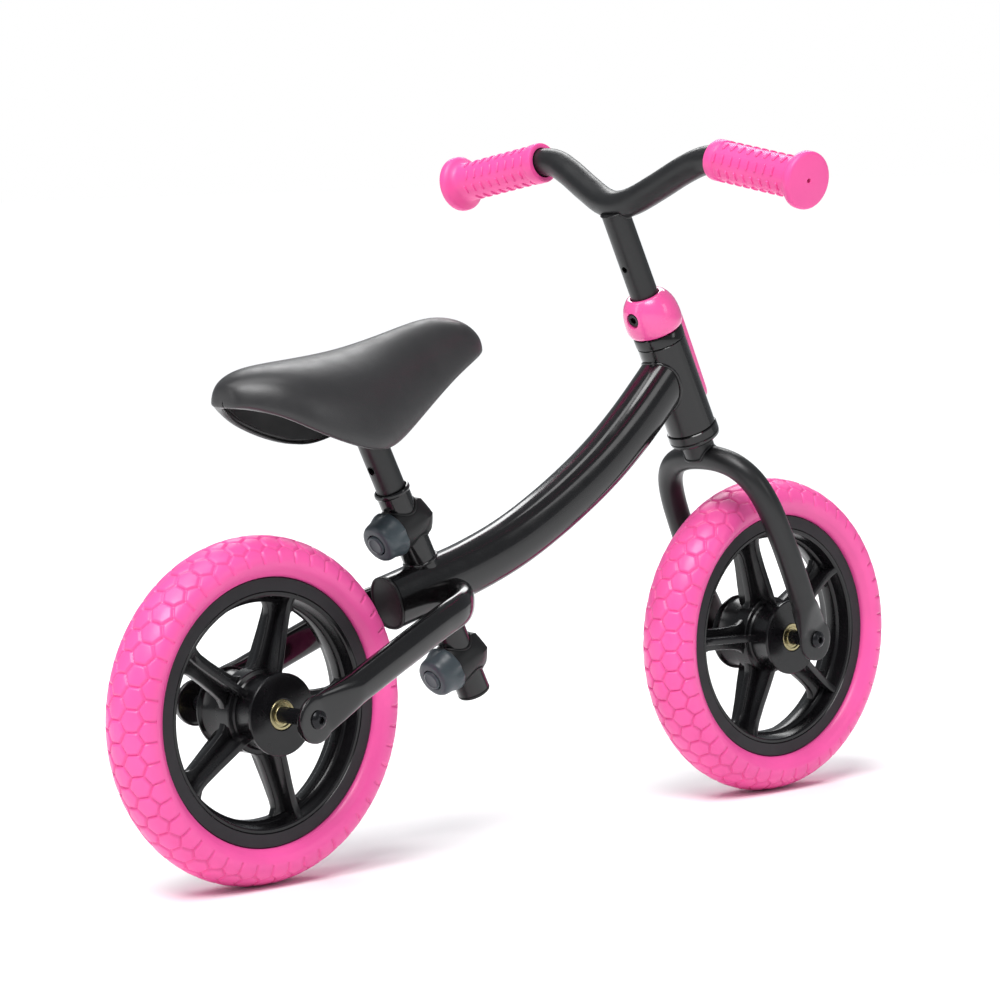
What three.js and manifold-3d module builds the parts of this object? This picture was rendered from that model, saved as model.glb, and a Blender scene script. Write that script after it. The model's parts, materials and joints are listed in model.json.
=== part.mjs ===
// A child's balance bike: two foam-tyred wheels, a bent steel frame, a steering fork, a
// height-adjustable handlebar and a height-adjustable saddle held by two turn knobs.
// Millimetres. +X points forward, +Y to the rider's left, +Z up. The origin lies on the
// ground, midway between the two wheel axles and in the plane of symmetry.
import * as THREE from "three";
import Module from "manifold-3d";
import { mergeVertices } from "three/addons/utils/BufferGeometryUtils.js";
import { ConvexGeometry } from "three/addons/geometries/ConvexGeometry.js";

const wasm = await Module();
wasm.setup();

// Driving dimensions
const GAP = 0.3; // clearance between pieces that touch
const WHEELBASE = 533.4;
const TYRE_RADIUS = 127;
const TYRE_HALF_WIDTH = 25;
const TREAD_FLAT = 5; // half-width of the flat running band
const RIM_RADIUS = 97.7;
const RIM_HALF_WIDTH = 16.4;
const RIM_BORE = 79;
const SPOKES = 5;
const HUB_RADIUS = 27;
const HUB_DISC_RADIUS = 30;
const HUB_HALF_WIDTH = 31;
const BEARING_RADIUS = 11;
const BEARING_WIDTH = 7;
const AXLE_RADIUS = 4;
const SPACER_RADIUS = 5.8;
const BOLT_RADIUS = 3;
const BOLT_HEAD_RADIUS = 6.8;
const BOLT_HEAD_HEIGHT = 3.6;
const DROPOUT_THICKNESS = 5;
const REAR_DROPOUT_FACE = 70.5; // outer face, from the plane of symmetry
const FRONT_DROPOUT_FACE = 57.5;
const DROPOUT_RADIUS = 17.5;

const STEER_ANGLE = THREE.MathUtils.degToRad(24.8); // lean of the steering axis
const CROWN = new THREE.Vector3(195.5, 0, 281.5);
const FORK_TUBE = 10;
const HEAD_TUBE = { outer: 19.5, inner: 17, bottom: 22, top: 99 };
const STEERER = { outer: 12.7, inner: 11.4, bottom: -3, top: 136 };
const STEM_RADIUS = 11.1;
const STEM_BOTTOM = 62;
const BAR_RADIUS = 11.1;
const GRIP_RADIUS = 15.5;
const GRIP_FLANGE_RADIUS = 22;

const SEAT_ANGLE = THREE.MathUtils.degToRad(25.9); // lean of the seat tube
const SEAT_CROSSING = new THREE.Vector3(-104.5, 0, 221.7); // on the main tube's centreline
const SEAT_TUBE = { outer: 12.7, inner: 11.4, bottom: -115, top: 61 };
const POST_RADIUS = 11.1;
const POST = { bottom: -24, top: 150 };
const CLAMP_HEIGHTS = { upper: 31.6, lower: -86.5 };
const POST_HOLE_PITCH = 25.5;
const CLAMP_RADIUS = 16;
const KNOB_RADIUS = 18;
const KNOB_NOSE_RADIUS = 15;
const KNOB_DEPTH = 18;

const MAIN_TUBE = { halfWidth: 16.5, halfHeight: 20.5 };
const STAY = { halfWidth: 8, halfHeight: 12.5 };

const WHEEL_FACETS = 28;
const TUBE_FACETS = 16;
const SMALL_FACETS = 10;

// Materials
const finish = (color, roughness, metalness) => ({ color, roughness, metalness });
const FINISHES = {
  foamPink: finish(0xef5ca2, 0.55, 0),
  gripPink: finish(0xed549d, 0.5, 0),
  collarPink: finish(0xef67a6, 0.3, 0),
  rimBlack: finish(0x1f1f20, 0.45, 0),
  glossBlack: finish(0x202022, 0.2, 0.1),
  satinBlack: finish(0x2b2b2c, 0.45, 0.1),
  saddleBlack: finish(0x353536, 0.6, 0),
  plasticBlack: finish(0x29292b, 0.5, 0),
  knobGrey: finish(0x566066, 0.5, 0),
  zincGold: finish(0xb3a468, 0.35, 1),
  boltBlack: finish(0x1c1c1d, 0.35, 0.8),
};

// Geometry helpers

// Signed volume of an indexed triangle mesh; negative when its faces point inwards.
function signedVolume(geometry) {
  const position = geometry.attributes.position;
  const [a, b, c] = [new THREE.Vector3(), new THREE.Vector3(), new THREE.Vector3()];
  let volume = 0;
  for (let i = 0; i < geometry.index.count; i += 3) {
    a.fromBufferAttribute(position, geometry.index.getX(i));
    b.fromBufferAttribute(position, geometry.index.getX(i + 1));
    c.fromBufferAttribute(position, geometry.index.getX(i + 2));
    volume += a.dot(b.cross(c)) / 6;
  }
  return volume;
}

// Shares the vertices, drops the slivers left at poles and turns the faces outwards.
function weld(geometry) {
  const bare = new THREE.BufferGeometry();
  bare.setAttribute("position", geometry.attributes.position.clone());
  bare.setIndex(geometry.index ? geometry.index.clone() : null);
  const merged = mergeVertices(bare, 1e-4);
  const index = merged.index.array;
  const kept = [];
  for (let i = 0; i < index.length; i += 3) {
    const [a, b, c] = [index[i], index[i + 1], index[i + 2]];
    if (a !== b && b !== c && c !== a) kept.push(a, b, c);
  }
  merged.setIndex(kept);
  if (signedVolume(merged) < 0) merged.setIndex(kept.reverse());
  return merged;
}

function toSolid(geometry) {
  const welded = weld(geometry);
  const vertProperties = Float32Array.from(welded.attributes.position.array);
  const triVerts = Uint32Array.from(welded.index.array);
  return new wasm.Manifold(new wasm.Mesh({ numProp: 3, vertProperties, triVerts }));
}

function toGeometry(solid) {
  const { vertProperties, triVerts } = solid.getMesh();
  const geometry = new THREE.BufferGeometry();
  geometry.setAttribute("position", new THREE.BufferAttribute(vertProperties, 3));
  geometry.setIndex(new THREE.BufferAttribute(triVerts, 1));
  return geometry;
}

function join(first, ...others) {
  return toGeometry(others.reduce((body, next) => body.add(toSolid(next)), toSolid(first)));
}

function cut(first, ...tools) {
  return toGeometry(tools.reduce((body, tool) => body.subtract(toSolid(tool)), toSolid(first)));
}

// A ring or turned body about the Y axis from [radius, y] pairs that close on themselves.
function turned(profile, facets = TUBE_FACETS) {
  const points = [...profile, profile[0]].map(([radius, y]) => new THREE.Vector2(radius, y));
  return new THREE.LatheGeometry(points, facets, Math.PI / facets);
}

// Turns a body made about the Y axis so that its axis is Z, with +Y going to +Z.
const upright = (geometry) => geometry.rotateX(Math.PI / 2);

function ring(outer, inner, from, to, facets = TUBE_FACETS) {
  return turned([[outer, from], [outer, to], [inner, to], [inner, from]], facets);
}

function rod(radius, from, to, facets = TUBE_FACETS) {
  const cylinder = new THREE.CylinderGeometry(radius, radius, to - from, facets, 1, false, Math.PI / facets);
  return cylinder.translate(0, (from + to) / 2, 0);
}

function box(x0, x1, y0, y1, z0, z1) {
  const solid = new THREE.BoxGeometry(x1 - x0, y1 - y0, z1 - z0);
  return solid.translate((x0 + x1) / 2, (y0 + y1) / 2, (z0 + z1) / 2);
}

// An oval outline; power above 2 squares its shoulders.
function oval(halfWidth, halfHeight, count = TUBE_FACETS, power = 2) {
  const points = [];
  for (let i = 0; i < count; i += 1) {
    const angle = ((i + 0.5) / count) * 2 * Math.PI;
    const [c, s] = [Math.cos(angle), Math.sin(angle)];
    const x = Math.sign(c) * Math.abs(c) ** (2 / power) * halfWidth;
    const y = Math.sign(s) * Math.abs(s) ** (2 / power) * halfHeight;
    points.push(new THREE.Vector2(x, y));
  }
  return new THREE.Shape(points);
}

function sweep(path, section, steps) {
  const curve = new THREE.CatmullRomCurve3(path.map(([x, y, z]) => new THREE.Vector3(x, y, z)));
  return new THREE.ExtrudeGeometry(section, { extrudePath: curve, steps, bevelEnabled: false });
}

// A closed skin over rings of points that all have the same count, capped at both ends.
function loft(rings) {
  const count = rings[0].length;
  const index = [];
  for (let r = 0; r + 1 < rings.length; r += 1) {
    for (let i = 0; i < count; i += 1) {
      const [a, b] = [r * count + i, r * count + ((i + 1) % count)];
      index.push(a, b, b + count, a, b + count, a + count);
    }
  }
  const last = (rings.length - 1) * count;
  const outline = rings[0].map((point) => new THREE.Vector2(point.y, point.z));
  const clockwise = THREE.ShapeUtils.isClockWise(outline);
  for (const [a, b, c] of THREE.ShapeUtils.triangulateShape(outline, [])) {
    const [p, q] = clockwise ? [c, b] : [b, c];
    index.push(a, q, p, last + a, last + p, last + q);
  }
  const geometry = new THREE.BufferGeometry().setFromPoints(rings.flat());
  geometry.setIndex(index);
  return geometry;
}

const circlePoints = (radius, count, place) =>
  Array.from({ length: count }, (_, i) => place(
    radius * Math.cos((2 * Math.PI * i) / count),
    radius * Math.sin((2 * Math.PI * i) / count),
  ));

// The assembly
const bike = new THREE.Group();
const frontEnd = new THREE.Group(); // Z along the steering axis, origin at the crown
frontEnd.position.copy(CROWN);
frontEnd.rotation.y = -STEER_ANGLE;
const seatGroup = new THREE.Group(); // Z up along the seat tube, X towards the front
seatGroup.position.copy(SEAT_CROSSING);
seatGroup.rotation.y = -SEAT_ANGLE;
bike.add(frontEnd, seatGroup);
bike.updateMatrixWorld(true);

function add(parent, name, geometry, look) {
  const mesh = new THREE.Mesh(weld(geometry), new THREE.MeshStandardMaterial(FINISHES[look]));
  mesh.name = name;
  parent.add(mesh);
  return mesh;
}

const inBike = (geometry, group) => geometry.clone().applyMatrix4(group.matrixWorld);

// Wheels

// Foam tyre: a round section sitting in the rim's channel, with a flat running band. Its
// radius is that of the facets' middles, so one facet lies flat on the ground.
function tyreGeometry() {
  const toFacet = 1 / Math.cos(Math.PI / WHEEL_FACETS);
  const seat = RIM_HALF_WIDTH - 3.6;
  const side = [
    [90.6, seat - 2.4], [RIM_RADIUS + GAP, seat], [RIM_RADIUS + GAP, RIM_HALF_WIDTH + 0.6],
    [103, TYRE_HALF_WIDTH - 2], [110, TYRE_HALF_WIDTH], [118.5, TYRE_HALF_WIDTH - 3.5],
    [123.8, TYRE_HALF_WIDTH - 10.5], [TYRE_RADIUS, TREAD_FLAT],
  ];
  const profile = [...side, ...side.map(([radius, y]) => [radius, -y]).reverse()];
  return turned(profile.map(([radius, y]) => [radius * toFacet, y]), WHEEL_FACETS);
}

function rimRing() {
  const side = [
    [RIM_BORE, 5], [RIM_BORE + 3.5, 6.5], [85.8, RIM_HALF_WIDTH], [RIM_RADIUS, RIM_HALF_WIDTH],
    [RIM_RADIUS, RIM_HALF_WIDTH - 3.3], [89.6, RIM_HALF_WIDTH - 5.4],
  ];
  return turned([...side, ...side.map(([radius, y]) => [radius, -y]).reverse()], WHEEL_FACETS);
}

function hubBody() {
  const pocket = HUB_HALF_WIDTH - BEARING_WIDTH - GAP;
  const side = [
    [SPACER_RADIUS + 2.2, pocket], [BEARING_RADIUS + GAP, pocket],
    [BEARING_RADIUS + GAP, HUB_HALF_WIDTH], [HUB_DISC_RADIUS, HUB_HALF_WIDTH],
    [HUB_DISC_RADIUS, HUB_HALF_WIDTH - 2], [HUB_RADIUS, HUB_HALF_WIDTH - 3.5], [HUB_RADIUS, 7],
    [HUB_RADIUS + 4, 6],
  ];
  return turned([...side, ...side.map(([radius, y]) => [radius, -y]).reverse()], 16);
}

// One spoke along +Z: a flat web in the middle plane and a fin that narrows to the rim.
function spoke() {
  const inner = HUB_RADIUS - 2;
  const outer = RIM_BORE + 3;
  const plate = (halfX, halfY, z) => [
    [halfX, halfY, z], [-halfX, halfY, z], [-halfX, -halfY, z], [halfX, -halfY, z],
  ].map(([x, y, height]) => new THREE.Vector3(x, y, height));
  const web = new ConvexGeometry([...plate(10, 3.5, inner), ...plate(7.5, 3.5, outer)]);
  const fin = new ConvexGeometry([...plate(3, 19, inner), ...plate(2.2, 14.5, outer)]);
  return join(web, fin);
}

function rimGeometry(phase) {
  const spokes = Array.from({ length: SPOKES }, (_, i) =>
    spoke().rotateY(phase + (i * 2 * Math.PI) / SPOKES));
  return join(rimRing(), hubBody(), ...spokes);
}

function addWheel(name, x, dropoutFace, phase, fixedParent) {
  const wheel = new THREE.Group();
  wheel.position.set(x, 0, TYRE_RADIUS);
  bike.add(wheel);
  add(wheel, `${name}_tyre`, tyreGeometry(), "foamPink");
  add(wheel, `${name}_rim`, rimGeometry(phase), "rimBlack");
  const bearingInner = HUB_HALF_WIDTH - BEARING_WIDTH;
  for (const [side, sign] of [["left", 1], ["right", -1]]) {
    const bearing = ring(BEARING_RADIUS, AXLE_RADIUS + GAP, bearingInner, HUB_HALF_WIDTH);
    add(wheel, `${name}_bearing_${side}`, bearing.scale(1, sign, 1), "zincGold");
  }
  addAxle(name, fixedParent, wheel.position, dropoutFace);
}

// The axle runs through both bearings; a sleeve keeps the bearings apart and a spacer on
// each side fills the room out to the dropout. A button-head bolt holds each end.
function addAxle(name, parent, position, dropoutFace) {
  const fixed = new THREE.Group();
  fixed.position.copy(position);
  parent.add(fixed);
  const inside = dropoutFace - DROPOUT_THICKNESS - GAP;
  const bearingInner = HUB_HALF_WIDTH - BEARING_WIDTH;
  const bore = BOLT_RADIUS + GAP;
  const drilled = cut(
    rod(AXLE_RADIUS + 0.1, -inside, inside, SMALL_FACETS),
    rod(bore, inside - 14, inside + 1, SMALL_FACETS),
    rod(bore, -inside - 1, 14 - inside, SMALL_FACETS),
  );
  add(fixed, `${name}_axle`, drilled, "boltBlack");
  const sleeve = ring(SPACER_RADIUS, AXLE_RADIUS + 0.5, GAP - bearingInner, bearingInner - GAP, SMALL_FACETS);
  add(fixed, `${name}_axle_sleeve`, sleeve, "plasticBlack");
  for (const [side, sign] of [["left", 1], ["right", -1]]) {
    const spacer = ring(SPACER_RADIUS, AXLE_RADIUS + 0.5, HUB_HALF_WIDTH + GAP, inside, SMALL_FACETS);
    add(fixed, `${name}_spacer_${side}`, spacer.scale(1, sign, 1), "boltBlack");
    add(fixed, `${name}_bolt_${side}`, axleBolt(dropoutFace, inside).scale(1, sign, 1), "boltBlack");
  }
}

function axleBolt(dropoutFace, inside) {
  const top = dropoutFace + GAP + BOLT_HEAD_HEIGHT;
  const head = turned([
    [0.01, dropoutFace + GAP], [BOLT_HEAD_RADIUS, dropoutFace + GAP], [BOLT_HEAD_RADIUS, top - 2.4],
    [BOLT_HEAD_RADIUS - 2.2, top], [0.01, top],
  ], SMALL_FACETS);
  const shank = rod(BOLT_RADIUS, inside - 12, dropoutFace + 1, SMALL_FACETS);
  return cut(join(head, shank), rod(2.3, top - 2.2, top + 1, 6));
}

// Frame

const MAIN_LINE = [
  [-136.5, 0, 192.4], [-98, 0, 201.5], [-56, 0, 211.8], [-11, 0, 227.2], [37, 0, 250.5],
  [82.6, 0, 278.3], [116.8, 0, 304.6], [150, 0, 335], [165, 0, 350],
];

const STAY_LINE = [
  [-252, -66, 132.5], [-225, -63.5, 144], [-180, -58, 162], [-130, -50.5, 181], [-103, -43.5, 189],
  [-89, -30, 193], [-83.5, -12, 195],
];

function mainTube() {
  const tube = sweep(MAIN_LINE, oval(MAIN_TUBE.halfWidth, MAIN_TUBE.halfHeight, 16, 2.3), 14);
  const headBore = inBike(upright(rod(HEAD_TUBE.outer + GAP, -30, 130, 20)), frontEnd);
  const seatBore = inBike(upright(rod(SEAT_TUBE.outer + GAP, -90, 90, 16)), seatGroup);
  return cut(tube, headBore, seatBore);
}

// The right-hand stay: an oval tube that runs forward from its dropout and bends in to
// end on the side of the main tube.
function rightStay() {
  const tube = sweep(STAY_LINE, oval(STAY.halfWidth, STAY.halfHeight, 12, 2.3), 12);
  const dropout = flattenedEnd([-WHEELBASE / 2, TYRE_RADIUS], REAR_DROPOUT_FACE, stayMouth());
  const pocket = sweep(MAIN_LINE, oval(MAIN_TUBE.halfWidth + GAP, MAIN_TUBE.halfHeight + GAP, 16, 2.3), 14);
  const beyond = box(-200, 100, -1, 100, 100, 300);
  const seatRoom = inBike(upright(rod(SEAT_TUBE.outer + GAP, -90, 90, 16)), seatGroup);
  return cut(join(tube, dropout), pocket, beyond, seatRoom, boltHole(-WHEELBASE / 2));
}

// The ring where the round dropout blends into the oval tube.
function stayMouth() {
  const along = new THREE.Vector3(0.92, 0.09, 0.38).normalize();
  const up = new THREE.Vector3(-0.38, 0, 0.92).normalize();
  const side = new THREE.Vector3().crossVectors(up, along);
  const centre = new THREE.Vector3(-226, -63.6, 143.6);
  return circlePoints(1, 10, (c, s) => centre.clone()
    .addScaledVector(side, c * (STAY.halfWidth - 0.3))
    .addScaledVector(up, s * (STAY.halfHeight - 0.3)));
}

// A tube end pressed flat into a round plate. The taper is the hull of the ring where the
// tube is still whole and a chord across the plate, on the side of the ring.
function flattenedEnd([x, z], face, mouth, radius = DROPOUT_RADIUS) {
  const plate = rod(radius, -face, DROPOUT_THICKNESS - face, 20).translate(x, 0, z);
  const middle = mouth.reduce((sum, point) => sum.add(point), new THREE.Vector3());
  const towards = middle.divideScalar(mouth.length).sub(new THREE.Vector3(x, 0, z)).setY(0).normalize();
  const across = new THREE.Vector3(-towards.z, 0, towards.x);
  const chordReach = BOLT_HEAD_RADIUS + 1.7;
  const halfChord = Math.sqrt(radius ** 2 - chordReach ** 2) - 0.3;
  const chord = [-face, DROPOUT_THICKNESS - face].flatMap((y) => [1, -1].map((sign) =>
    new THREE.Vector3(x, y, z).addScaledVector(towards, chordReach).addScaledVector(across, sign * halfChord)));
  return join(plate, new ConvexGeometry([...chord, ...mouth]));
}

const boltHole = (x) => rod(BOLT_RADIUS + GAP, -90, -30, SMALL_FACETS).translate(x, 0, TYRE_RADIUS);

function headTube() {
  return upright(ring(HEAD_TUBE.outer, HEAD_TUBE.inner, HEAD_TUBE.bottom, HEAD_TUBE.top, 20));
}

function seatTube() {
  const tube = upright(ring(SEAT_TUBE.outer, SEAT_TUBE.inner, SEAT_TUBE.bottom, SEAT_TUBE.top, 16));
  const bead = upright(turned([
    [SEAT_TUBE.inner + 0.3, SEAT_TUBE.top - 3], [SEAT_TUBE.outer + 0.8, SEAT_TUBE.top - 3],
    [SEAT_TUBE.outer + 1.2, SEAT_TUBE.top - 1.2], [SEAT_TUBE.outer + 0.6, SEAT_TUBE.top + 0.6],
    [SEAT_TUBE.inner + 0.6, SEAT_TUBE.top + 0.6],
  ], 16));
  const holes = Object.values(CLAMP_HEIGHTS).map((height) => screwHole(height));
  return cut(join(tube, bead), ...holes);
}

// The clamp screw's hole runs in from the rear, square to the seat tube.
const alongX = (geometry) => geometry.rotateZ(Math.PI / 2); // +Y goes to -X
const screwHole = (height) => alongX(rod(4.3, 8, 40, SMALL_FACETS)).translate(0, 0, height);

function seatTubePlug() {
  const end = SEAT_TUBE.bottom - GAP;
  return upright(turned([
    [0.01, end + 12], [SEAT_TUBE.inner - GAP, end + 12], [SEAT_TUBE.inner - GAP, end],
    [SEAT_TUBE.outer, end], [SEAT_TUBE.outer - 1.5, end - 2.4], [0.01, end - 3],
  ]));
}

// A flat plastic plug that closes the rear end of the main tube.
function mainTubePlug() {
  const direction = new THREE.Vector3(-42, 0, -10).normalize();
  const section = oval(MAIN_TUBE.halfWidth, MAIN_TUBE.halfHeight, 16, 2.3);
  const plug = new THREE.ExtrudeGeometry(section, {
    depth: 2.5, bevelEnabled: true, bevelThickness: 0.8, bevelSize: 0.8, bevelOffset: -0.8, bevelSegments: 1,
  });
  const turn = new THREE.Matrix4().makeBasis(
    new THREE.Vector3(0, 1, 0),
    new THREE.Vector3().crossVectors(direction, new THREE.Vector3(0, 1, 0)),
    direction,
  );
  const place = new THREE.Vector3(-136.5, 0, 192.4).addScaledVector(direction, 0.8 + GAP);
  return plug.applyMatrix4(turn.setPosition(place));
}

// Headset cups press into the head tube; a tab on each keys it at the rear.
function headsetCup(mouth, inward, flangeRadius, flangeHeight) {
  const spigot = [[STEERER.outer + GAP, 0], [HEAD_TUBE.inner - GAP, 0], [HEAD_TUBE.inner - GAP, 12]];
  const flange = [
    [flangeRadius - 1, 12 + GAP], [flangeRadius, 13.5], [flangeRadius - 0.6, 12 + flangeHeight],
    [STEERER.outer + GAP, 12 + flangeHeight],
  ];
  const place = ([radius, height]) => [radius, mouth - inward * (12 - height)];
  return upright(turned([...spigot, [HEAD_TUBE.inner - GAP, 12 + GAP], ...flange].map(place), 16));
}

// Clamp body: a plastic boss that wraps the seat tube, round at the knob and six-sided
// at the front, where it holds the nut.
function clampBody(height) {
  const round = alongX(rod(CLAMP_RADIUS, -8, SEAT_TUBE.outer + 0.9, 16));
  const hexagon = (radius, x) => circlePoints(radius, 6, (c, s) => new THREE.Vector3(x, c, s));
  const nose = new ConvexGeometry([
    ...circlePoints(CLAMP_RADIUS, 16, (c, s) => new THREE.Vector3(6, c, s)),
    ...hexagon(CLAMP_RADIUS + 0.4, 11), ...hexagon(CLAMP_RADIUS - 2, 17.5),
  ]);
  const body = join(round, nose).translate(0, 0, height);
  const tube = upright(rod(SEAT_TUBE.outer + GAP, height - 40, height + 40, 16));
  return cut(body, tube, screwHole(height), alongX(rod(6, -30, -15, 6)).translate(0, 0, height));
}

// Knob with a wide flange against the clamp, four shallow finger lobes and a round nose.
function knob(height) {
  const base = SEAT_TUBE.outer + 0.9 + GAP;
  const body = turned([
    [4.4, base], [KNOB_RADIUS - 1, base], [KNOB_RADIUS, base + 2], [KNOB_RADIUS - 1.4, base + 7],
    [KNOB_NOSE_RADIUS + 0.6, base + 10], [KNOB_NOSE_RADIUS, base + 15],
    [KNOB_NOSE_RADIUS - 3.5, base + KNOB_DEPTH], [8, base + KNOB_DEPTH], [8, base + 13], [4.4, base + 13],
  ], 18);
  const lobes = [0, 1, 2, 3].map((i) => {
    const angle = Math.PI / 4 + (i * Math.PI) / 2;
    const reach = KNOB_RADIUS + 7;
    return rod(9, base - 1, base + KNOB_DEPTH + 1, SMALL_FACETS)
      .translate(reach * Math.cos(angle), 0, reach * Math.sin(angle));
  });
  return alongX(cut(body, ...lobes)).translate(0, 0, height);
}

function knobCap(height) {
  const base = SEAT_TUBE.outer + 0.9 + GAP;
  const cap = turned([
    [0.01, base + 14], [7.7, base + 14], [7.7, base + KNOB_DEPTH + 0.6], [6.6, base + KNOB_DEPTH + 1.6],
    [0.01, base + KNOB_DEPTH + 1.8],
  ], 14);
  return alongX(cap).translate(0, 0, height);
}

// The knob's screw ends just short of the seat post.
function knobScrew(height) {
  const base = SEAT_TUBE.outer + 0.9 + GAP;
  return alongX(rod(4, POST_RADIUS + GAP, base + 13.5, SMALL_FACETS)).translate(0, 0, height);
}

function addFrame() {
  add(bike, "main_tube", mainTube(), "glossBlack");
  add(bike, "main_tube_plug", mainTubePlug(), "plasticBlack");
  add(bike, "stay_right", rightStay(), "glossBlack");
  add(bike, "stay_left", weld(rightStay()).scale(1, -1, 1), "glossBlack");
  add(frontEnd, "head_tube", headTube(), "glossBlack");
  add(frontEnd, "headset_cup_upper", headsetCup(HEAD_TUBE.top, 1, 20, 9), "plasticBlack");
  add(frontEnd, "headset_cup_lower", headsetCup(HEAD_TUBE.bottom, -1, 20.6, 11), "plasticBlack");
  add(seatGroup, "seat_tube", seatTube(), "glossBlack");
  add(seatGroup, "seat_tube_plug", seatTubePlug(), "plasticBlack");
  for (const [place, height] of Object.entries(CLAMP_HEIGHTS)) {
    add(seatGroup, `clamp_${place}`, clampBody(height), "plasticBlack");
    add(seatGroup, `knob_${place}`, knob(height), "knobGrey");
    add(seatGroup, `knob_cap_${place}`, knobCap(height), "knobGrey");
    add(seatGroup, `knob_screw_${place}`, knobScrew(height), "boltBlack");
  }
}

// Steering

// Fork centreline for the right leg, from the crown down to above the axle.
const FORK_LEG = [
  [0, 0, -5.6], [0, -19.5, -7.4], [0.6, -34.5, -13.8], [1.4, -45.5, -26], [2, -52, -45],
  [2, -55, -80], [1, -56, -122], [0.4, -56, -140],
];

function forkTube(radius) {
  const left = FORK_LEG.slice(1).map(([x, y, z]) => [x, -y, z]).reverse();
  return sweep([...left, ...FORK_LEG], oval(radius, radius, 12), 22);
}

const fork = () => cut(join(forkTube(FORK_TUBE), forkEnd(1), forkEnd(-1)), forkHole());

// The front axle seen from the crown, in the fork's own axes.
const axleInFork = () => frontEnd.worldToLocal(new THREE.Vector3(WHEELBASE / 2, 0, TYRE_RADIUS));

// Flattened leg end: the hull of the round plate and the ring where the tube stays round.
function forkEnd(sign) {
  const { x, z } = axleInFork();
  const ringAt = circlePoints(FORK_TUBE - 0.2, 10, (c, s) => new THREE.Vector3(0.5 + c, -56 + s, -137));
  return flattenedEnd([x, z], FRONT_DROPOUT_FACE, ringAt, 17).scale(1, sign, 1);
}

function forkHole() {
  const { x, z } = axleInFork();
  return rod(BOLT_RADIUS + GAP, -90, 90, SMALL_FACETS).translate(x, 0, z);
}

function steerer() {
  const tube = ring(STEERER.outer, STEERER.inner, STEERER.bottom, STEERER.top, 16);
  const hole = alongX(rod(3.4, 8, 20, SMALL_FACETS)).translate(0, 0, COLLAR_BOLT_HEIGHT);
  return cut(upright(tube), hole, forkTube(FORK_TUBE + GAP));
}

const COLLAR_BOLT_HEIGHT = 127;

// Collar that closes the headset and clamps the stem. A flat-faced shield hangs from it
// down the front of the head tube.
function collar() {
  const inner = STEERER.outer + GAP;
  const body = upright(turned([
    [inner, 108.5], [19.5, 108.5], [21.8, 111], [22.7, 116.5], [22.5, 123], [21, 131], [17.5, 137],
    [13.6, 140], [STEM_RADIUS + 0.5, 140], [STEM_RADIUS + 0.5, 136.4], [inner, 136.4],
  ], 20));
  const shieldShape = [[8.5, 122], [8, 80], [7, 42], [4.5, 38]];
  const outline = new THREE.Shape([
    ...shieldShape.map(([y, z]) => new THREE.Vector2(y, z)),
    ...shieldShape.map(([y, z]) => new THREE.Vector2(-y, z)).reverse(),
  ]);
  const slab = new THREE.ExtrudeGeometry(outline, { depth: 13, bevelEnabled: false })
    .applyMatrix4(new THREE.Matrix4().makeBasis(
      new THREE.Vector3(0, 1, 0), new THREE.Vector3(0, 0, 1), new THREE.Vector3(1, 0, 0),
    ).setPosition(10.2, 0, 0));
  const headRoom = upright(rod(HEAD_TUBE.outer + 1.2, 20, 108.3, 20));
  const steererRoom = upright(rod(inner, 100, 136.4, 20));
  const boltPocket = alongX(rod(6, 16.8, 30, 16)).translate(0, 0, COLLAR_BOLT_HEIGHT);
  const boltBore = alongX(rod(3.3, 10, 30, SMALL_FACETS)).translate(0, 0, COLLAR_BOLT_HEIGHT);
  const shield = cut(slab, headRoom, steererRoom);
  return cut(join(body, shield), boltPocket, boltBore);
}

function collarBolt() {
  const head = rod(5.2, 16.8, 21.2, 16);
  const shank = rod(3, STEERER.inner + 0.4, 18, SMALL_FACETS);
  const bolt = cut(join(head, shank), rod(2.6, 18.6, 23, 6));
  return alongX(bolt).translate(0, 0, COLLAR_BOLT_HEIGHT);
}

// Right half of the bar's centreline, from the stem out to the grip's end.
const BAR_LINE = [
  [4.5, 0, 215.7], [7.2, -16, 217.7], [14.8, -38, 225.2], [24.6, -64, 235.3], [29.7, -80, 239.8], [30.9, -94, 241],
  [27.4, -128, 236.4], [21.3, -184, 228.5],
];

function handlebar() {
  const left = BAR_LINE.slice(1).map(([x, y, z]) => [x, -y, z]).reverse();
  const bar = sweep([...left, ...BAR_LINE], oval(BAR_RADIUS, BAR_RADIUS, 12), 20);
  const stem = upright(rod(STEM_RADIUS, STEM_BOTTOM, 213, 16));
  const holes = [COLLAR_BOLT_HEIGHT, COLLAR_BOLT_HEIGHT + 40].map((height) =>
    alongX(rod(2.6, 5, 20, SMALL_FACETS)).translate(0, 0, height));
  return cut(join(bar, stem), ...holes);
}

// The grip is turned about +Y and then laid along the bar's straight end.
function grip(sign) {
  const start = new THREE.Vector3(30.8, -96, 240.8);
  const end = new THREE.Vector3(20.3, -194, 227);
  const length = start.distanceTo(end);
  const bore = BAR_RADIUS + 0.9;
  const closed = length - 7;
  const body = turned([
    [bore, 0], [GRIP_RADIUS - 0.5, 0], [GRIP_RADIUS + 0.4, 1.5], [GRIP_RADIUS + 0.4, 9], [GRIP_RADIUS - 0.6, 10],
    [GRIP_RADIUS - 0.6, length - 13], [GRIP_RADIUS + 3, length - 10.5], [GRIP_FLANGE_RADIUS, length - 6],
    [GRIP_FLANGE_RADIUS, length - 2.5], [GRIP_FLANGE_RADIUS - 3, length], [1.6, length], [1.6, closed], [bore, closed],
  ], 16);
  const direction = end.clone().sub(start).normalize();
  const turn = new THREE.Quaternion().setFromUnitVectors(new THREE.Vector3(0, 1, 0), direction);
  return body.applyQuaternion(turn).translate(start.x, start.y, start.z).scale(1, sign, 1);
}

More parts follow.
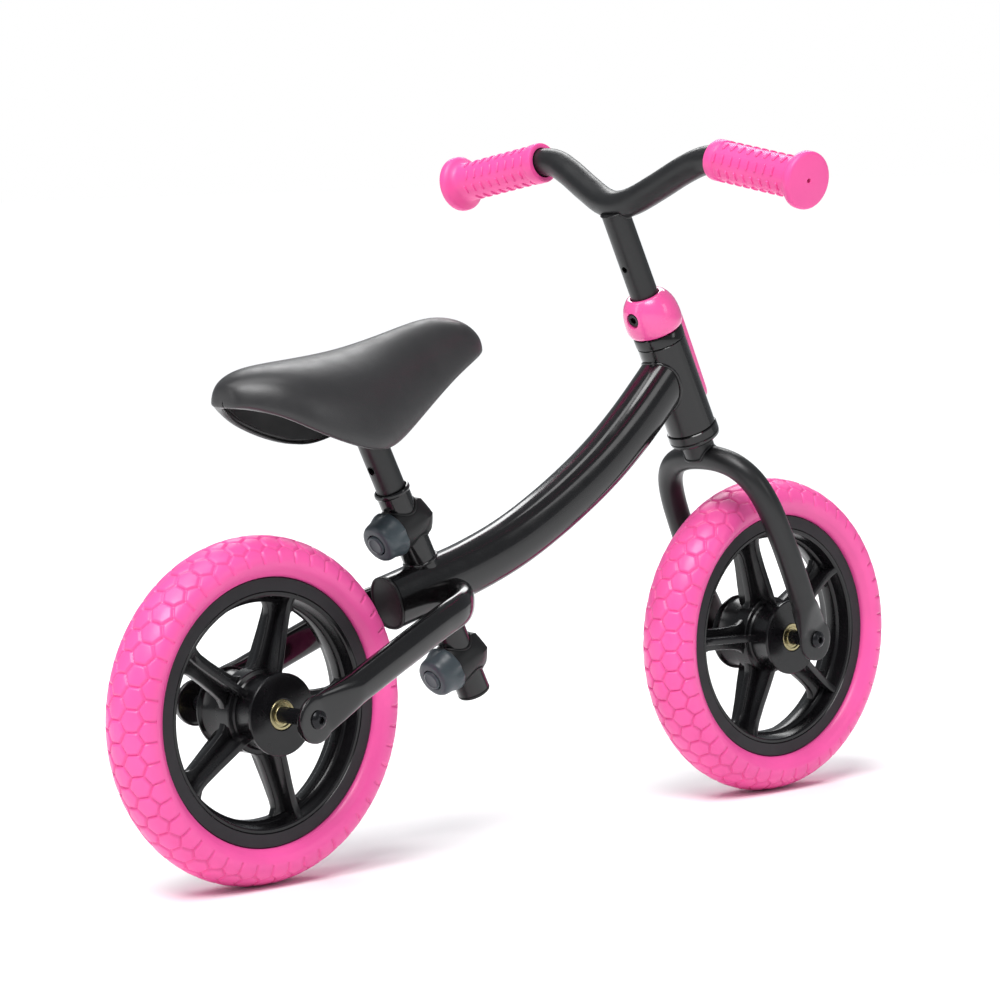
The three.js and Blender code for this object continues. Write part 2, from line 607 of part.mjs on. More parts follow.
function addSteering() {
  add(frontEnd, "fork", fork(), "satinBlack");
  add(frontEnd, "steerer_tube", steerer(), "satinBlack");
  add(frontEnd, "collar_shield", collar(), "collarPink");
  add(frontEnd, "collar_bolt", collarBolt(), "boltBlack");
  add(frontEnd, "handlebar", handlebar(), "satinBlack");
  add(frontEnd, "grip_right", grip(1), "gripPink");
  add(frontEnd, "grip_left", weld(grip(1)).scale(1, -1, 1), "gripPink");
}

// Saddle

// Stations from the rear to the nose: x, height of the crown, height of the rim and
// half-width at the rim.
const SADDLE_STATIONS = [
  [-288, 361, 347, 11], [-280, 368, 346, 22], [-270, 372, 343, 32], [-258, 375, 338, 42], [-242, 376.5, 329, 50],
  [-216, 378.5, 318.5, 53.5], [-190, 381, 311.5, 53.5], [-172, 383.5, 310.5, 50], [-152, 387.5, 317, 43],
  [-130, 392.5, 329, 35.5], [-108, 398, 342, 30], [-86, 402, 356, 26.5], [-66, 399, 366, 21.5],
  [-52, 392, 371, 15.5], [-45, 385, 373.5, 9],
];

// One ∩-shaped ring across the saddle: the outer arch and, inside it, the inner arch.
function archRing([x, crown, rim, halfWidth], outerInset, innerInset) {
  const arch = (inset, sense) => Array.from({ length: 11 }, (_, i) => {
    const angle = (sense * (i / 5 - 1) * Math.PI) / 2;
    const rise = Math.abs(Math.cos(angle)) ** 0.85;
    const reach = Math.sign(angle) * Math.abs(Math.sin(angle)) ** 0.9;
    return new THREE.Vector3(x, reach * (halfWidth - inset), rim + rise * (crown - rim - inset));
  });
  return [...arch(outerInset, 1), ...arch(innerInset, -1)];
}

// A shell between two insets, closed at the rear and the nose by solid ends.
function saddleShell(outerInset, innerInset, firstOpen, lastOpen) {
  const rings = SADDLE_STATIONS.map((station) => archRing(station, outerInset, innerInset));
  return loft(rings.slice(firstOpen, lastOpen));
}

const COVER_THICKNESS = 8;

function saddlePad() {
  return saddleShell(0, COVER_THICKNESS, 0, SADDLE_STATIONS.length);
}

// The base shell lines the cover. A socket moulded under it takes the seat post.
function saddleBase() {
  const shell = saddleShell(COVER_THICKNESS + 1.2, COVER_THICKNESS + 4, 4, 11);
  const socket = upright(rod(POST_RADIUS + 4, POST.top - 34, POST.top + 12));
  const bore = upright(rod(POST_RADIUS + GAP, POST.top - 60, POST.top + GAP));
  return cut(join(shell, inBike(socket, seatGroup)), inBike(bore, seatGroup));
}

function addSaddle() {
  add(bike, "saddle_pad", saddlePad(), "saddleBlack");
  add(bike, "saddle_base", saddleBase(), "plasticBlack");
  const post = cut(
    upright(ring(POST_RADIUS, 9.3, POST.bottom, POST.top, 16)),
    ...[-1, 0, 1, 2].map((i) => alongX(rod(3.2, 4, 20, SMALL_FACETS))
      .translate(0, 0, CLAMP_HEIGHTS.upper + POST_HOLE_PITCH * i)),
  );
  add(seatGroup, "seat_post", post, "satinBlack");
}

addFrame();
addSteering();
addSaddle();
addWheel("rear", -WHEELBASE / 2, REAR_DROPOUT_FACE, THREE.MathUtils.degToRad(18), bike);
addWheel("front", WHEELBASE / 2, FRONT_DROPOUT_FACE, THREE.MathUtils.degToRad(56), bike);

export default bike;
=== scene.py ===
# %% [markdown]
# # A child's balance bike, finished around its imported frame
# The CAD model already holds the true sizes, the bodies and the joints. This lesson loads
# it as a fixed frame and gives every visible part its finished shape and surface. Shapes
# are worked out in millimetres in the axes of the part they belong to, and one matrix for
# each of those axes puts them in the frame, in metres.

# %% Load the frame
import bisect
import json
import math

import bmesh
import bpy
from mathutils import Matrix, Vector


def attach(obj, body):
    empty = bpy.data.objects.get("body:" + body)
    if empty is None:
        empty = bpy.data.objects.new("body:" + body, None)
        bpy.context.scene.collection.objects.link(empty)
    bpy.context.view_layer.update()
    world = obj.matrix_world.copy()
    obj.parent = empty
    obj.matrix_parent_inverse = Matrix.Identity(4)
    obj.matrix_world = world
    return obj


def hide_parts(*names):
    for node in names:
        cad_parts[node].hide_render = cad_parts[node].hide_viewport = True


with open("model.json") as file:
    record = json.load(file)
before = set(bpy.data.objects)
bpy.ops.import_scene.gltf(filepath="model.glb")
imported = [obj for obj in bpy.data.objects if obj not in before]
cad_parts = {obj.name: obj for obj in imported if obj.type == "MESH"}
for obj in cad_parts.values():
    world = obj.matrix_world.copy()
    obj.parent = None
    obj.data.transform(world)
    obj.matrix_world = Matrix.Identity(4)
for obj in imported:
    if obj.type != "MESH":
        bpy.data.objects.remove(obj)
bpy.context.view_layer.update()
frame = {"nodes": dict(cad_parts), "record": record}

# %% [markdown]
# ## The axes of each assembly
# Three sets of axes save a lot of trigonometry. The bike's own axes serve the frame tubes,
# leaning axes along the steering tube serve everything that turns with the bar, and
# leaning axes along the seat tube serve the post and its clamps. The joints in the record
# say where those axes are, so nothing is measured twice.

# %% Axes from the joints
MM = 0.001
JOINTS = {joint["name"]: joint for joint in frame["record"]["behaviour"]["joints"]}


def leaning_axes(origin, axis):
    """Axes in millimetres whose Z runs along a joint's axis in the plane of symmetry."""
    lean = math.atan2(-axis[0], axis[2])
    return Matrix.Translation(origin) @ Matrix.Rotation(-lean, 4, "Y")


CLAMP_HEIGHT = {"upper": 31.6, "lower": -86.5}
KNOB_SETBACK = 20.0
METRES = Matrix.Scale(MM, 4)
STEERING = JOINTS["steering"]
FRONT_MM = leaning_axes(Vector(STEERING["pos_m"]) / MM, STEERING["axis"])
SEAT_TURN = leaning_axes(Vector((0, 0, 0)), JOINTS["saddle_height"]["axis"])
KNOB_POINT = Vector(JOINTS["upper_knob_turn"]["pos_m"]) / MM
SEAT_ORIGIN = KNOB_POINT - SEAT_TURN @ Vector((-KNOB_SETBACK, 0, CLAMP_HEIGHT["upper"]))
SEAT_MM = Matrix.Translation(SEAT_ORIGIN) @ SEAT_TURN
BIKE = METRES
FRONT = METRES @ FRONT_MM
SEAT = METRES @ SEAT_MM
WHEEL_MM = {
    end: Vector(JOINTS[f"{end}_wheel_spin"]["pos_m"]) / MM for end in ("rear", "front")
}
print("crown", FRONT_MM.translation, "seat crossing", SEAT_MM.translation)

# %% [markdown]
# ## Finishes
# Each real surface is one base colour broken up three ways: a slow drift of tone, a drift
# of roughness, and a fine relief that only shows where light grazes it. One recipe with
# different numbers covers moulded plastic, paint, foam and rubber, since what changes
# between them is the size and depth of the grain. Constants go on the shader's own
# sockets, and only what varies over the surface is wired.

# %% The surface recipe
def linear(hex_colour):
    """A screen colour such as 'ef5ca2' as the linear values a shader takes."""
    parts = [int(hex_colour[i:i + 2], 16) / 255 for i in (0, 2, 4)]
    return [c / 12.92 if c <= 0.04045 else ((c + 0.055) / 1.055) ** 2.4 for c in parts]


def noise(tree, coords, scale, detail=3.0):
    node = tree.nodes.new("ShaderNodeTexNoise")
    node.inputs["Scale"].default_value = scale
    node.inputs["Detail"].default_value = detail
    tree.links.new(coords, node.inputs["Vector"])
    return node.outputs["Fac"]


def spread(tree, value, low, high, start=0.3, end=0.7):
    node = tree.nodes.new("ShaderNodeMapRange")
    for name, number in zip(("From Min", "From Max", "To Min", "To Max"), (start, end, low, high)):
        node.inputs[name].default_value = number
    tree.links.new(value, node.inputs["Value"])
    return node.outputs["Result"]


def relief(tree, height, depth_mm, below=None):
    node = tree.nodes.new("ShaderNodeBump")
    node.inputs["Strength"].default_value = 1.0
    node.inputs["Distance"].default_value = depth_mm * MM
    tree.links.new(height, node.inputs["Height"])
    if below is not None:
        tree.links.new(below, node.inputs["Normal"])
    return node.outputs["Normal"]


def surface(name, colour, roughness, grain_mm, depth_mm, tone=0.08, drift=0.05, metal=0.0,
            coat=0.0, pebble_mm=0.0, specular=0.5):
    """A finish with tone, roughness and relief that all vary over the surface."""
    material = bpy.data.materials.new(name)
    material.use_nodes = True
    tree = material.node_tree
    shader = tree.nodes["Principled BSDF"]
    coords = tree.nodes.new("ShaderNodeTexCoord").outputs["Object"]
    base = linear(colour)
    mix = tree.nodes.new("ShaderNodeMix")
    mix.data_type = "RGBA"
    mix.inputs["A"].default_value = [c * (1 - tone) for c in base] + [1]
    mix.inputs["B"].default_value = [min(1, c * (1 + tone)) for c in base] + [1]
    tree.links.new(spread(tree, noise(tree, coords, 26), 0, 1), mix.inputs["Factor"])
    tree.links.new(mix.outputs["Result"], shader.inputs["Base Color"])
    low, high = max(0.02, roughness - drift), min(1, roughness + drift)
    tree.links.new(spread(tree, noise(tree, coords, 90), low, high), shader.inputs["Roughness"])
    normal = relief(tree, noise(tree, coords, 1 / (grain_mm * MM), 2), depth_mm)
    if pebble_mm:
        cells = tree.nodes.new("ShaderNodeTexVoronoi")
        cells.feature = "SMOOTH_F1"
        cells.inputs["Scale"].default_value = 1 / (pebble_mm * MM)
        tree.links.new(coords, cells.inputs["Vector"])
        normal = relief(tree, cells.outputs["Distance"], depth_mm * 2, normal)
    tree.links.new(normal, shader.inputs["Normal"])
    shader.inputs["Metallic"].default_value = metal
    shader.inputs["Coat Weight"].default_value = coat
    shader.inputs["Coat Roughness"].default_value = 0.08
    shader.inputs["Specular IOR Level"].default_value = specular
    return material


# %% [markdown]
# The finishes of this bike: closed-cell foam with pores, soft rubber for the grips, a
# shiny moulded collar, matt and shiny black plastic for the wheels, gloss paint with
# a slight orange peel on the frame, satin paint on fork and bar, and a pebbled skin on
# the saddle.

# %% The finishes
FINISH = {
    "foam": surface("foam_pink", "ee56a0", 0.36, 0.9, 0.02, tone=0.05, pebble_mm=1.6, specular=0.45),
    "grip": surface("grip_pink", "ee4f9b", 0.42, 0.5, 0.015, tone=0.04, specular=0.45),
    "collar": surface("collar_pink", "ee579e", 0.24, 1.5, 0.006, tone=0.03, coat=0.4),
    "rim": surface("rim_black", "0f0e10", 0.24, 0.8, 0.003, tone=0.12, specular=0.36),
    "rim_matt": surface("rim_black_matt", "262427", 0.55, 0.35, 0.03, tone=0.1, specular=0.3),
    "gloss": surface("gloss_black", "0f0e0f", 0.18, 3.0, 0.008, tone=0.08, coat=0.4, specular=0.3),
    "satin": surface("satin_black", "171718", 0.36, 0.6, 0.012, tone=0.08, specular=0.45),
    "saddle": surface("saddle_black", "272627", 0.4, 0.35, 0.02, tone=0.07, pebble_mm=0.8, specular=0.55),
    "plastic": surface("plastic_black", "131314", 0.42, 0.4, 0.015, tone=0.08, specular=0.35),
    "knob": surface("knob_grey", "3f484d", 0.36, 0.4, 0.015, tone=0.06, specular=0.4),
    "zinc": surface("zinc_gold", "aca27c", 0.3, 0.3, 0.008, tone=0.12, metal=1.0),
    "bolt": surface("bolt_black", "1d1d20", 0.28, 0.3, 0.01, tone=0.15, metal=0.6),
}
print(len(FINISH), "finishes")

# %% [markdown]
# ## Modelling helpers
# Two ideas make nearly every part here. Turned parts, such as hubs and cups, are a
# profile spun about an axis. Tubes and moulded bodies are a ring that is extruded again
# and again while its outline is reshaped.

# %% Turning and skinning
UP = Matrix.Identity(4)
LEFT = Matrix.Rotation(math.radians(-90), 4, "X")  # a part turned about Z ends up about +Y
REAR = Matrix.Rotation(math.radians(-90), 4, "Y")  # a part turned about Z ends up about -X
MIRROR = Matrix.Scale(-1, 4, (0, 1, 0))


def turn(bm, profile, way=UP, steps=64, closed=True):
    """Spins [radius, height] pairs about Z, then lays the result along the given way."""
    verts = [bm.verts.new((radius, 0, height)) for radius, height in profile]
    pairs = list(zip(verts, verts[1:])) + ([(verts[-1], verts[0])] if closed else [])
    edges = [bm.edges.new(pair) for pair in pairs]
    before = set(bm.verts) - set(verts)
    bmesh.ops.spin(bm, geom=verts + edges, cent=(0, 0, 0), axis=(0, 0, 1), angle=2 * math.pi,
                   steps=steps, use_merge=True)
    made = [v for v in bm.verts if v not in before]
    bmesh.ops.remove_doubles(bm, verts=made, dist=1e-4)
    made = [v for v in bm.verts if v not in before]
    bmesh.ops.transform(bm, matrix=way, verts=made)
    return made


def place_ring(ring, points):
    for vert, point in zip(ring, points):
        vert.co = point


def skin(bm, rings, closed=False, caps=True):
    """Extrudes one ring through a list of outlines that all have the same count."""
    count = len(rings[0])
    first = bmesh.ops.create_circle(bm, segments=count, radius=1)["verts"]
    place_ring(first, rings[0])
    ring, made = first, list(first)
    for points in rings[1:]:
        edges = [bm.edges.get((ring[i], ring[(i + 1) % count])) for i in range(count)]
        geometry = bmesh.ops.extrude_edge_only(bm, edges=edges)["geom"]
        fresh = {item for item in geometry if isinstance(item, bmesh.types.BMVert)}
        ring = [next(e.other_vert(v) for e in v.link_edges if e.other_vert(v) in fresh) for v in ring]
        place_ring(ring, points)
        made += ring
    ends = [[bm.edges.get((r[i], r[(i + 1) % count])) for i in range(count)] for r in (first, ring)]
    if closed:
        bmesh.ops.bridge_loops(bm, edges=ends[0] + ends[1])
    elif caps:
        for end in ends:
            bmesh.ops.contextual_create(bm, geom=end)
    return made


# %% Outlines and paths
def superellipse(across, along, count=40, power=2.0):
    """An oval outline as pairs; a power above 2 squares its shoulders."""
    pairs = []
    for i in range(count):
        angle = 2 * math.pi * i / count
        c, s = math.cos(angle), math.sin(angle)
        pairs.append((
            math.copysign(abs(c) ** (2 / power), c) * across,
            math.copysign(abs(s) ** (2 / power), s) * along,
        ))
    return pairs


def through(points, count):
    """Points evenly spread along a smooth curve through the given ones."""
    knots = [Vector(p) for p in points]
    knots = [2 * knots[0] - knots[1]] + knots + [2 * knots[-1] - knots[-2]]
    dense = []
    for p0, p1, p2, p3 in zip(knots, knots[1:], knots[2:], knots[3:]):
        t1 = (p1 - p0).length ** 0.5
        t2 = t1 + (p2 - p1).length ** 0.5
        t3 = t2 + (p3 - p2).length ** 0.5
        for i in range(30):
            t = t1 + (t2 - t1) * i / 30
            a1 = p0.lerp(p1, t / t1)
            a2 = p1.lerp(p2, (t - t1) / (t2 - t1))
            a3 = p2.lerp(p3, (t - t2) / (t3 - t2))
            b1 = a1.lerp(a2, t / t2)
            b2 = a2.lerp(a3, (t - t1) / (t3 - t1))
            dense.append(b1.lerp(b2, (t - t1) / (t2 - t1)))
    dense.append(knots[-2].copy())
    lengths = [0.0]
    for a, b in zip(dense, dense[1:]):
        lengths.append(lengths[-1] + (b - a).length)
    spread_out, j = [], 0
    for i in range(count):
        wanted = lengths[-1] * i / (count - 1)
        while j < len(dense) - 2 and lengths[j + 1] < wanted:
            j += 1
        step = lengths[j + 1] - lengths[j]
        spread_out.append(dense[j].lerp(dense[j + 1], (wanted - lengths[j]) / step if step else 0))
    return spread_out


def both_sides(points):
    """A path from one half of it, which starts in the plane of symmetry and runs right."""
    return [(x, -y, z) for x, y, z in points[1:]][::-1] + points


def tangents(path, closed=False):
    """The direction of travel at every point of a path."""
    last = len(path) - 1
    ways = []
    for i in range(len(path)):
        before = path[i - 1] if closed or i else path[0]
        after = path[(i + 1) % len(path)] if closed or i < last else path[last]
        ways.append((after - before).normalized())
    return ways


def tube_rings(path, outline_at, lean=Vector((0, 0, 1)), closed=False):
    """Rings along a path. outline_at(i) gives pairs measured across and along the lean."""
    rings = []
    for i, (centre, way) in enumerate(zip(path, tangents(path, closed))):
        side = way.cross(lean).normalized()
        up = side.cross(way)
        rings.append([centre + side * a + up * b for a, b in outline_at(i)])
    return rings


# %% Finishing a part
def finished(name, bm, finish, body, stands_for=(), place=BIKE, smooth=35, subdivide=0):
    """Turns a bmesh in millimetres into a piece of the bike."""
    bmesh.ops.transform(bm, matrix=place, verts=bm.verts)
    bmesh.ops.recalc_face_normals(bm, faces=bm.faces)
    mesh = bpy.data.meshes.new(name)
    bm.to_mesh(mesh)
    bm.free()
    mesh.shade_smooth()
    mesh.set_sharp_from_angle(angle=math.radians(smooth))
    piece = bpy.data.objects.new(name, mesh)
    bpy.context.scene.collection.objects.link(piece)
    mesh.materials.append(FINISH[finish])
    if subdivide:
        softened = piece.modifiers.new("softened", "SUBSURF")
        softened.levels = subdivide
        softened.render_levels = subdivide
    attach(piece, body)
    if stands_for:
        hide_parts(*stands_for)
    return piece


def turned_piece(name, line, finish, body, node, place, way=UP, steps=72, closed=True):
    bm = bmesh.new()
    turn(bm, line, way, steps, closed)
    return finished(name, bm, finish, body, [node] if node else [], place)


def carve(piece, *cutters):
    """Takes closed shapes, given as bmeshes already in place, out of a piece."""
    for i, bm in enumerate(cutters):
        bmesh.ops.recalc_face_normals(bm, faces=bm.faces)
        mesh = bpy.data.meshes.new(f"{piece.name}_tool_{i}")
        bm.to_mesh(mesh)
        bm.free()
        tool = bpy.data.objects.new(mesh.name, mesh)
        bpy.context.scene.collection.objects.link(tool)
        step = piece.modifiers.new("carve", "BOOLEAN")
        step.operation = "DIFFERENCE"
        step.solver = "EXACT"
        step.object = tool
        bpy.context.view_layer.update()
        graph = bpy.context.evaluated_depsgraph_get()
        carved = bpy.data.meshes.new_from_object(piece.evaluated_get(graph))
        piece.modifiers.remove(step)
        old, piece.data = piece.data, carved
        bpy.data.meshes.remove(old)
        bpy.data.objects.remove(tool)
        bpy.data.meshes.remove(mesh)
    piece.data.name = piece.name
    piece.data.shade_smooth()
    piece.data.set_sharp_from_angle(angle=math.radians(35))


def drill(radius, start, end, way, place, height=0.0):
    """A round cutter along a way, lifted to a height, in place."""
    bm = bmesh.new()
    turn(bm, [(0, start), (radius, start), (radius, end), (0, end)], way, 28, closed=False)
    bmesh.ops.transform(bm, matrix=place @ Matrix.Translation((0, 0, height)), verts=bm.verts)
    return bm


def weld_bead(name, points, radius, finish, body, place=BIKE):
    """A thin rounded bead along a closed line, such as where two tubes meet."""
    bm = bmesh.new()
    path = [Vector(p) for p in points]
    middle = sum(path, Vector()) / len(path)
    facing = sum(((a - middle).cross(b - middle) for a, b in zip(path, path[1:] + path[:1])), Vector())
    rings = []
    for centre, way in zip(path, tangents(path, closed=True)):
        side = (facing - way * facing.dot(way)).normalized()
        up = way.cross(side)
        rings.append([centre + side * a + up * b for a, b in superellipse(radius, radius, 10)])
    skin(bm, rings, closed=True)
    return finished(name, bm, finish, body, place=place, smooth=80)


# %% [markdown]
# ## Tyres
# The tyre is moulded foam. Its crown carries three staggered rows of six-sided blocks,
# 48 to a turn, and every outer tip runs on as a short slit down the shoulder. A bump
# texture would leave the edge of the wheel perfectly round, so the grooves are real: the
# section is spun in fine steps and each point is pressed in by how close it is to
# a groove. Each block is also slightly crowned, which gives the wavy outline.

# %% Tyre section
TYRE_SIDE = [
    (126.9, 0), (126.5, 4.5), (125.5, 8.8), (123.9, 13), (121.8, 16.8), (119.2, 20.2), (116.2, 22.8),
    (112.6, 24.5),
    (109, 24.9), (105.6, 24.2), (103.2, 23.0), (101.6, 21.6), (100.2, 20.4), (98.8, 18.8), (98.1, 17.2),
]
TYRE_SEAT = [(98.05, 13.0), (91.5, 10.6)]
BLOCKS = 48
BLOCK_PITCH = 2 * math.pi * 126.9 / BLOCKS
BLOCK_SIDE = BLOCK_PITCH / math.sqrt(3)
ROW_PITCH = 1.5 * BLOCK_SIDE
GROOVE_DEPTH = 1.5
TREAD_STEPS = 960


def gap_profile(distance, width=0.45, edge=0.75):
    """1 in the middle of a groove, falling smoothly to 0 beyond its edge."""
    t = min(1.0, max(0.0, (distance - width) / edge))
    return 1 - t * t * (3 - 2 * t)


def tread_depth(round_mm, across_mm):
    """How far the tyre's surface is pressed in at a place on its tread."""
    row = round(across_mm / ROW_PITCH)
    best = []
    for r in (row - 1, row, row + 1):
        shift = 0.5 * BLOCK_PITCH * (r % 2)
        column = round((round_mm - shift) / BLOCK_PITCH)
        for c in (column - 1, column, column + 1):
            centre = (c * BLOCK_PITCH + shift, r * ROW_PITCH)
            best.append((math.dist((round_mm, across_mm), centre), centre, r))
    best.sort(key=lambda item: item[0])
    (near, centre, own), (far, other, next_row) = best[0], best[1]
    if abs(own) > 1 and abs(next_row) > 1:
        tip = (round_mm - 0.5 * BLOCK_PITCH) % BLOCK_PITCH
        tip = min(tip, BLOCK_PITCH - tip)
        reach = abs(across_mm)
        fade = min(1, max(0, (35 - reach) / 3)) * min(1, max(0, (reach - 20) / 2))
        return 1.1 * GROOVE_DEPTH * fade * gap_profile(tip, 0.5, 0.9)
    edge_distance = (far ** 2 - near ** 2) / (2 * math.dist(centre, other))
    crown = 0.0 if abs(own) > 1 else 0.25 * min(1, near / BLOCK_SIDE) ** 2
    return GROOVE_DEPTH * gap_profile(edge_distance) + crown


# %% Tyres
def tyre_shape():
    """The foam ring about Y, pressed with its tread."""
    side = through([(radius, y, 0) for radius, y in TYRE_SIDE], 64)
    walked = [0.0]
    for last, point in zip(side, side[1:]):
        walked.append(walked[-1] + (point - last).length)
    widest = max(range(len(side)), key=lambda i: side[i].y)
    spreads = [point.y for point in side[:widest + 1]]
    half = [(p.x, p.y) for p in side] + TYRE_SEAT
    profile = half[::-1] + [(radius, -y) for radius, y in half[1:]]
    bm = bmesh.new()
    turn(bm, profile, LEFT, TREAD_STEPS)
    for vert in bm.verts:
        radius = math.hypot(vert.co.x, vert.co.z)
        if radius < side[widest].x:
            continue
        across = walked[min(bisect.bisect(spreads, abs(vert.co.y) - 0.02), widest)]
        if across > 36:
            continue
        round_mm = (math.atan2(vert.co.z, vert.co.x) % (2 * math.pi)) * 126.9
        lean_out = min(1, across / 30) ** 2 * 0.8
        depth = tread_depth(round_mm, math.copysign(across, vert.co.y))
        outward = Vector((vert.co.x / radius, math.copysign(lean_out, vert.co.y), vert.co.z / radius))
        vert.co -= outward.normalized() * depth
    return bm


shape = tyre_shape()
for end in WHEEL_MM:
    place = METRES @ Matrix.Translation(WHEEL_MM[end])
    made = finished(f"{end}_foam_tyre", shape.copy(), "foam", f"{end}_wheel", [f"{end}_tyre"],
                    place, smooth=60)
    print(made.name, len(made.data.polygons), "faces")
shape.free()

# %% [markdown]
# ## Wheels
# The wheel is one black moulding: a channel that holds the tyre, five spokes with
# a cross-shaped section, and a hub barrel with a collar where the spokes root. The
# spoke's flat web widens into a fillet at both ends, and its fin tapers from the hub to
# the rim and ends in a small flare that touches the flat ring. Web and fin are flat
# outlines extruded to a thickness and bevelled.

# %% Wheel mouldings
SPOKES = 5
FIRST_SPOKE = {"rear": 0.5, "front": 34.0}  # degrees from forward, rising
RIM_SIDE = [
    (79, 0), (79, 4.2), (79.6, 5.4), (81.6, 6.8), (82.6, 9), (83.3, 13), (83.9, 15.2), (85, 16.1),
    (86.8, 16.2), (87.3, 15.7), (87.8, 16.4), (97.1, 16.4), (97.7, 15.8), (97.7, 13.2), (89.8, 11),
    (89.8, 0),
]
HUB_SIDE = [
    (8, 0), (8, 23.8), (11.3, 23.8), (11.3, 30.6), (11.9, 31), (29.3, 31), (30, 30.3), (30, 28.8),
    (29.2, 28),
    (27.6, 27.2), (27, 26), (26.6, 9.5), (27.6, 8.2), (30.4, 7.4), (31, 6.6), (31, 0),
]
WEB_EDGE = [
    (26, 15), (30.5, 11.6), (35, 10), (44, 9.2), (58, 8.6), (68, 8.8), (73, 10), (76.5, 12.6), (80.5, 17.5),
]
FIN_EDGE = [(24, 18.6), (31, 18.2), (42, 17), (58, 14.8), (72, 13.6), (79, 14), (83, 15.2), (86.6, 16.3)]


def mirrored_profile(side):
    """A closed section from one half of it."""
    inner = [(radius, -y) for radius, y in side if y > 0]
    return side + inner[::-1]


def flat_plate(bm, edge, thickness, across):
    """An outline along Z, symmetric about it, extruded to a thickness and bevelled."""
    outline = [(half, reach) for reach, half in edge] + [(-half, reach) for reach, half in edge[::-1]]
    rings = []
    for offset in (-thickness / 2, thickness / 2):
        rings.append([
            Vector((a, offset, r)) if across == "X" else Vector((offset, a, r)) for a, r in outline
        ])
    made = skin(bm, rings)
    rims = [e for v in made for e in v.link_edges if all(
        len(face.verts) == 4 or len(face.verts) == len(outline) for face in e.link_faces)]
    sharp = {e for e in rims if len(e.link_faces) == 2 and e.calc_face_angle(0) > 1.2}
    bmesh.ops.bevel(bm, geom=list(sharp), offset=0.9, offset_type="OFFSET", affect="EDGES",
                    segments=2, profile=0.5, material=-1)


def wheel_moulding(end):
    """Channel, hub and five cross-section spokes in one moulding."""
    bm = bmesh.new()
    turn(bm, mirrored_profile(RIM_SIDE), LEFT, 144)
    turn(bm, mirrored_profile(HUB_SIDE), LEFT, 96)
    for i in range(SPOKES):
        angle = math.radians(90 - FIRST_SPOKE[end] - i * 360 / SPOKES)
        before = set(bm.verts)
        flat_plate(bm, WEB_EDGE, 7, "X")
        flat_plate(bm, FIN_EDGE, 5.6, "Y")
        bmesh.ops.transform(bm, matrix=Matrix.Rotation(angle, 4, "Y"),
                            verts=[v for v in bm.verts if v not in before])
    place = METRES @ Matrix.Translation(WHEEL_MM[end])
    piece = finished(f"{end}_wheel_moulding", bm, "rim", f"{end}_wheel", [f"{end}_rim"], place, smooth=30)
    piece.data.materials.append(FINISH["rim_matt"])
    centre = WHEEL_MM[end] * MM
    for face in piece.data.polygons:
        spot = face.center - centre
        reach = math.hypot(spot.x, spot.z) / MM
        if reach > 87.5 and abs(face.normal.y) > 0.95:
            face.material_index = 1
    return piece


for end in WHEEL_MM:
    made = wheel_moulding(end)
    print(made.name, len(made.data.polygons), "faces")

# %% [markdown]
# ## Bearings, spacers and bolts
# Each hub end shows a small yellow-plated ball bearing: an outer race, a recessed shield
# and an inner race. A black spacer fills the room out to the frame, and a button-head
# bolt with a six-sided socket holds the axle. All of them are turned. The socket is the
# one shape that isn't round, so its rings are drawn as a hexagon with as many points as
# the round rings around it.

# %% Small turned parts
BEARING = [
    (11, 24.1), (11, 30.7), (10.7, 31), (9.3, 31), (9.0, 30.7), (9.0, 29.9), (8.2, 29.9), (8.0, 30.3),
    (6.9, 30.3),
    (6.7, 29.9), (6.3, 29.9), (6.3, 30.7), (6.0, 31), (4.7, 31), (4.4, 30.7), (4.4, 24.1),
]
DROPOUT_FACE = {"rear": 70.5, "front": 57.5}
DROPOUT_THICKNESS = 5.0
GAP = 0.3


def hexagon(radius, height, count=36):
    """A six-sided ring with the same count of points as a round one."""
    points = []
    for i in range(count):
        angle = 2 * math.pi * i / count
        fold = (angle % (math.pi / 3)) - math.pi / 6
        reach = radius * math.cos(math.pi / 6) / math.cos(fold)
        points.append(Vector((reach * math.cos(angle), reach * math.sin(angle), height)))
    return points


def round_ring(radius, height, count=36):
    turns = [2 * math.pi * i / count for i in range(count)]
    return [Vector((radius * math.cos(angle), radius * math.sin(angle), height)) for angle in turns]


def button_bolt(bm, start, radius=6.8, rise=3.6):
    """A domed head with a six-sided socket, standing on a height along Z."""
    dome = [
        (radius - 0.3, 0), (radius, 0.35), (radius, 1.1), (radius - 0.9, 2.2),
        (radius - 2.2, 3.1), (3.7, rise),
    ]
    rings = [round_ring(r, start + h) for r, h in dome]
    top = start + rise
    rings += [round_ring(2.95, top - 0.02), hexagon(2.75, top - 0.4), hexagon(2.7, top - 2.6)]
    return skin(bm, rings)


def axle_details(end, side):
    """The bearing, spacer and bolt at one end of an axle."""
    flip = UP if side == "left" else MIRROR
    place = METRES @ Matrix.Translation(WHEEL_MM[end]) @ flip
    fixed_body = "frame" if end == "rear" else "fork"
    face = DROPOUT_FACE[end]
    inside = face - DROPOUT_THICKNESS - GAP
    turned_piece(f"{end}_ball_bearing_{side}", BEARING, "zinc", f"{end}_wheel",
                 f"{end}_bearing_{side}", place, LEFT, 48)
    sleeve = [(5.2, 31.3), (5.8, 31.8), (5.8, inside - 0.5), (5.3, inside), (4.5, inside), (4.5, 31.3)]
    turned_piece(f"{end}_spacer_sleeve_{side}", sleeve, "bolt", fixed_body,
                 f"{end}_spacer_{side}", place, LEFT, 40)
    bm = bmesh.new()
    made = button_bolt(bm, face + GAP)
    bmesh.ops.transform(bm, matrix=LEFT, verts=made)
    finished(f"{end}_button_bolt_{side}", bm, "bolt", fixed_body, [f"{end}_bolt_{side}"], place)


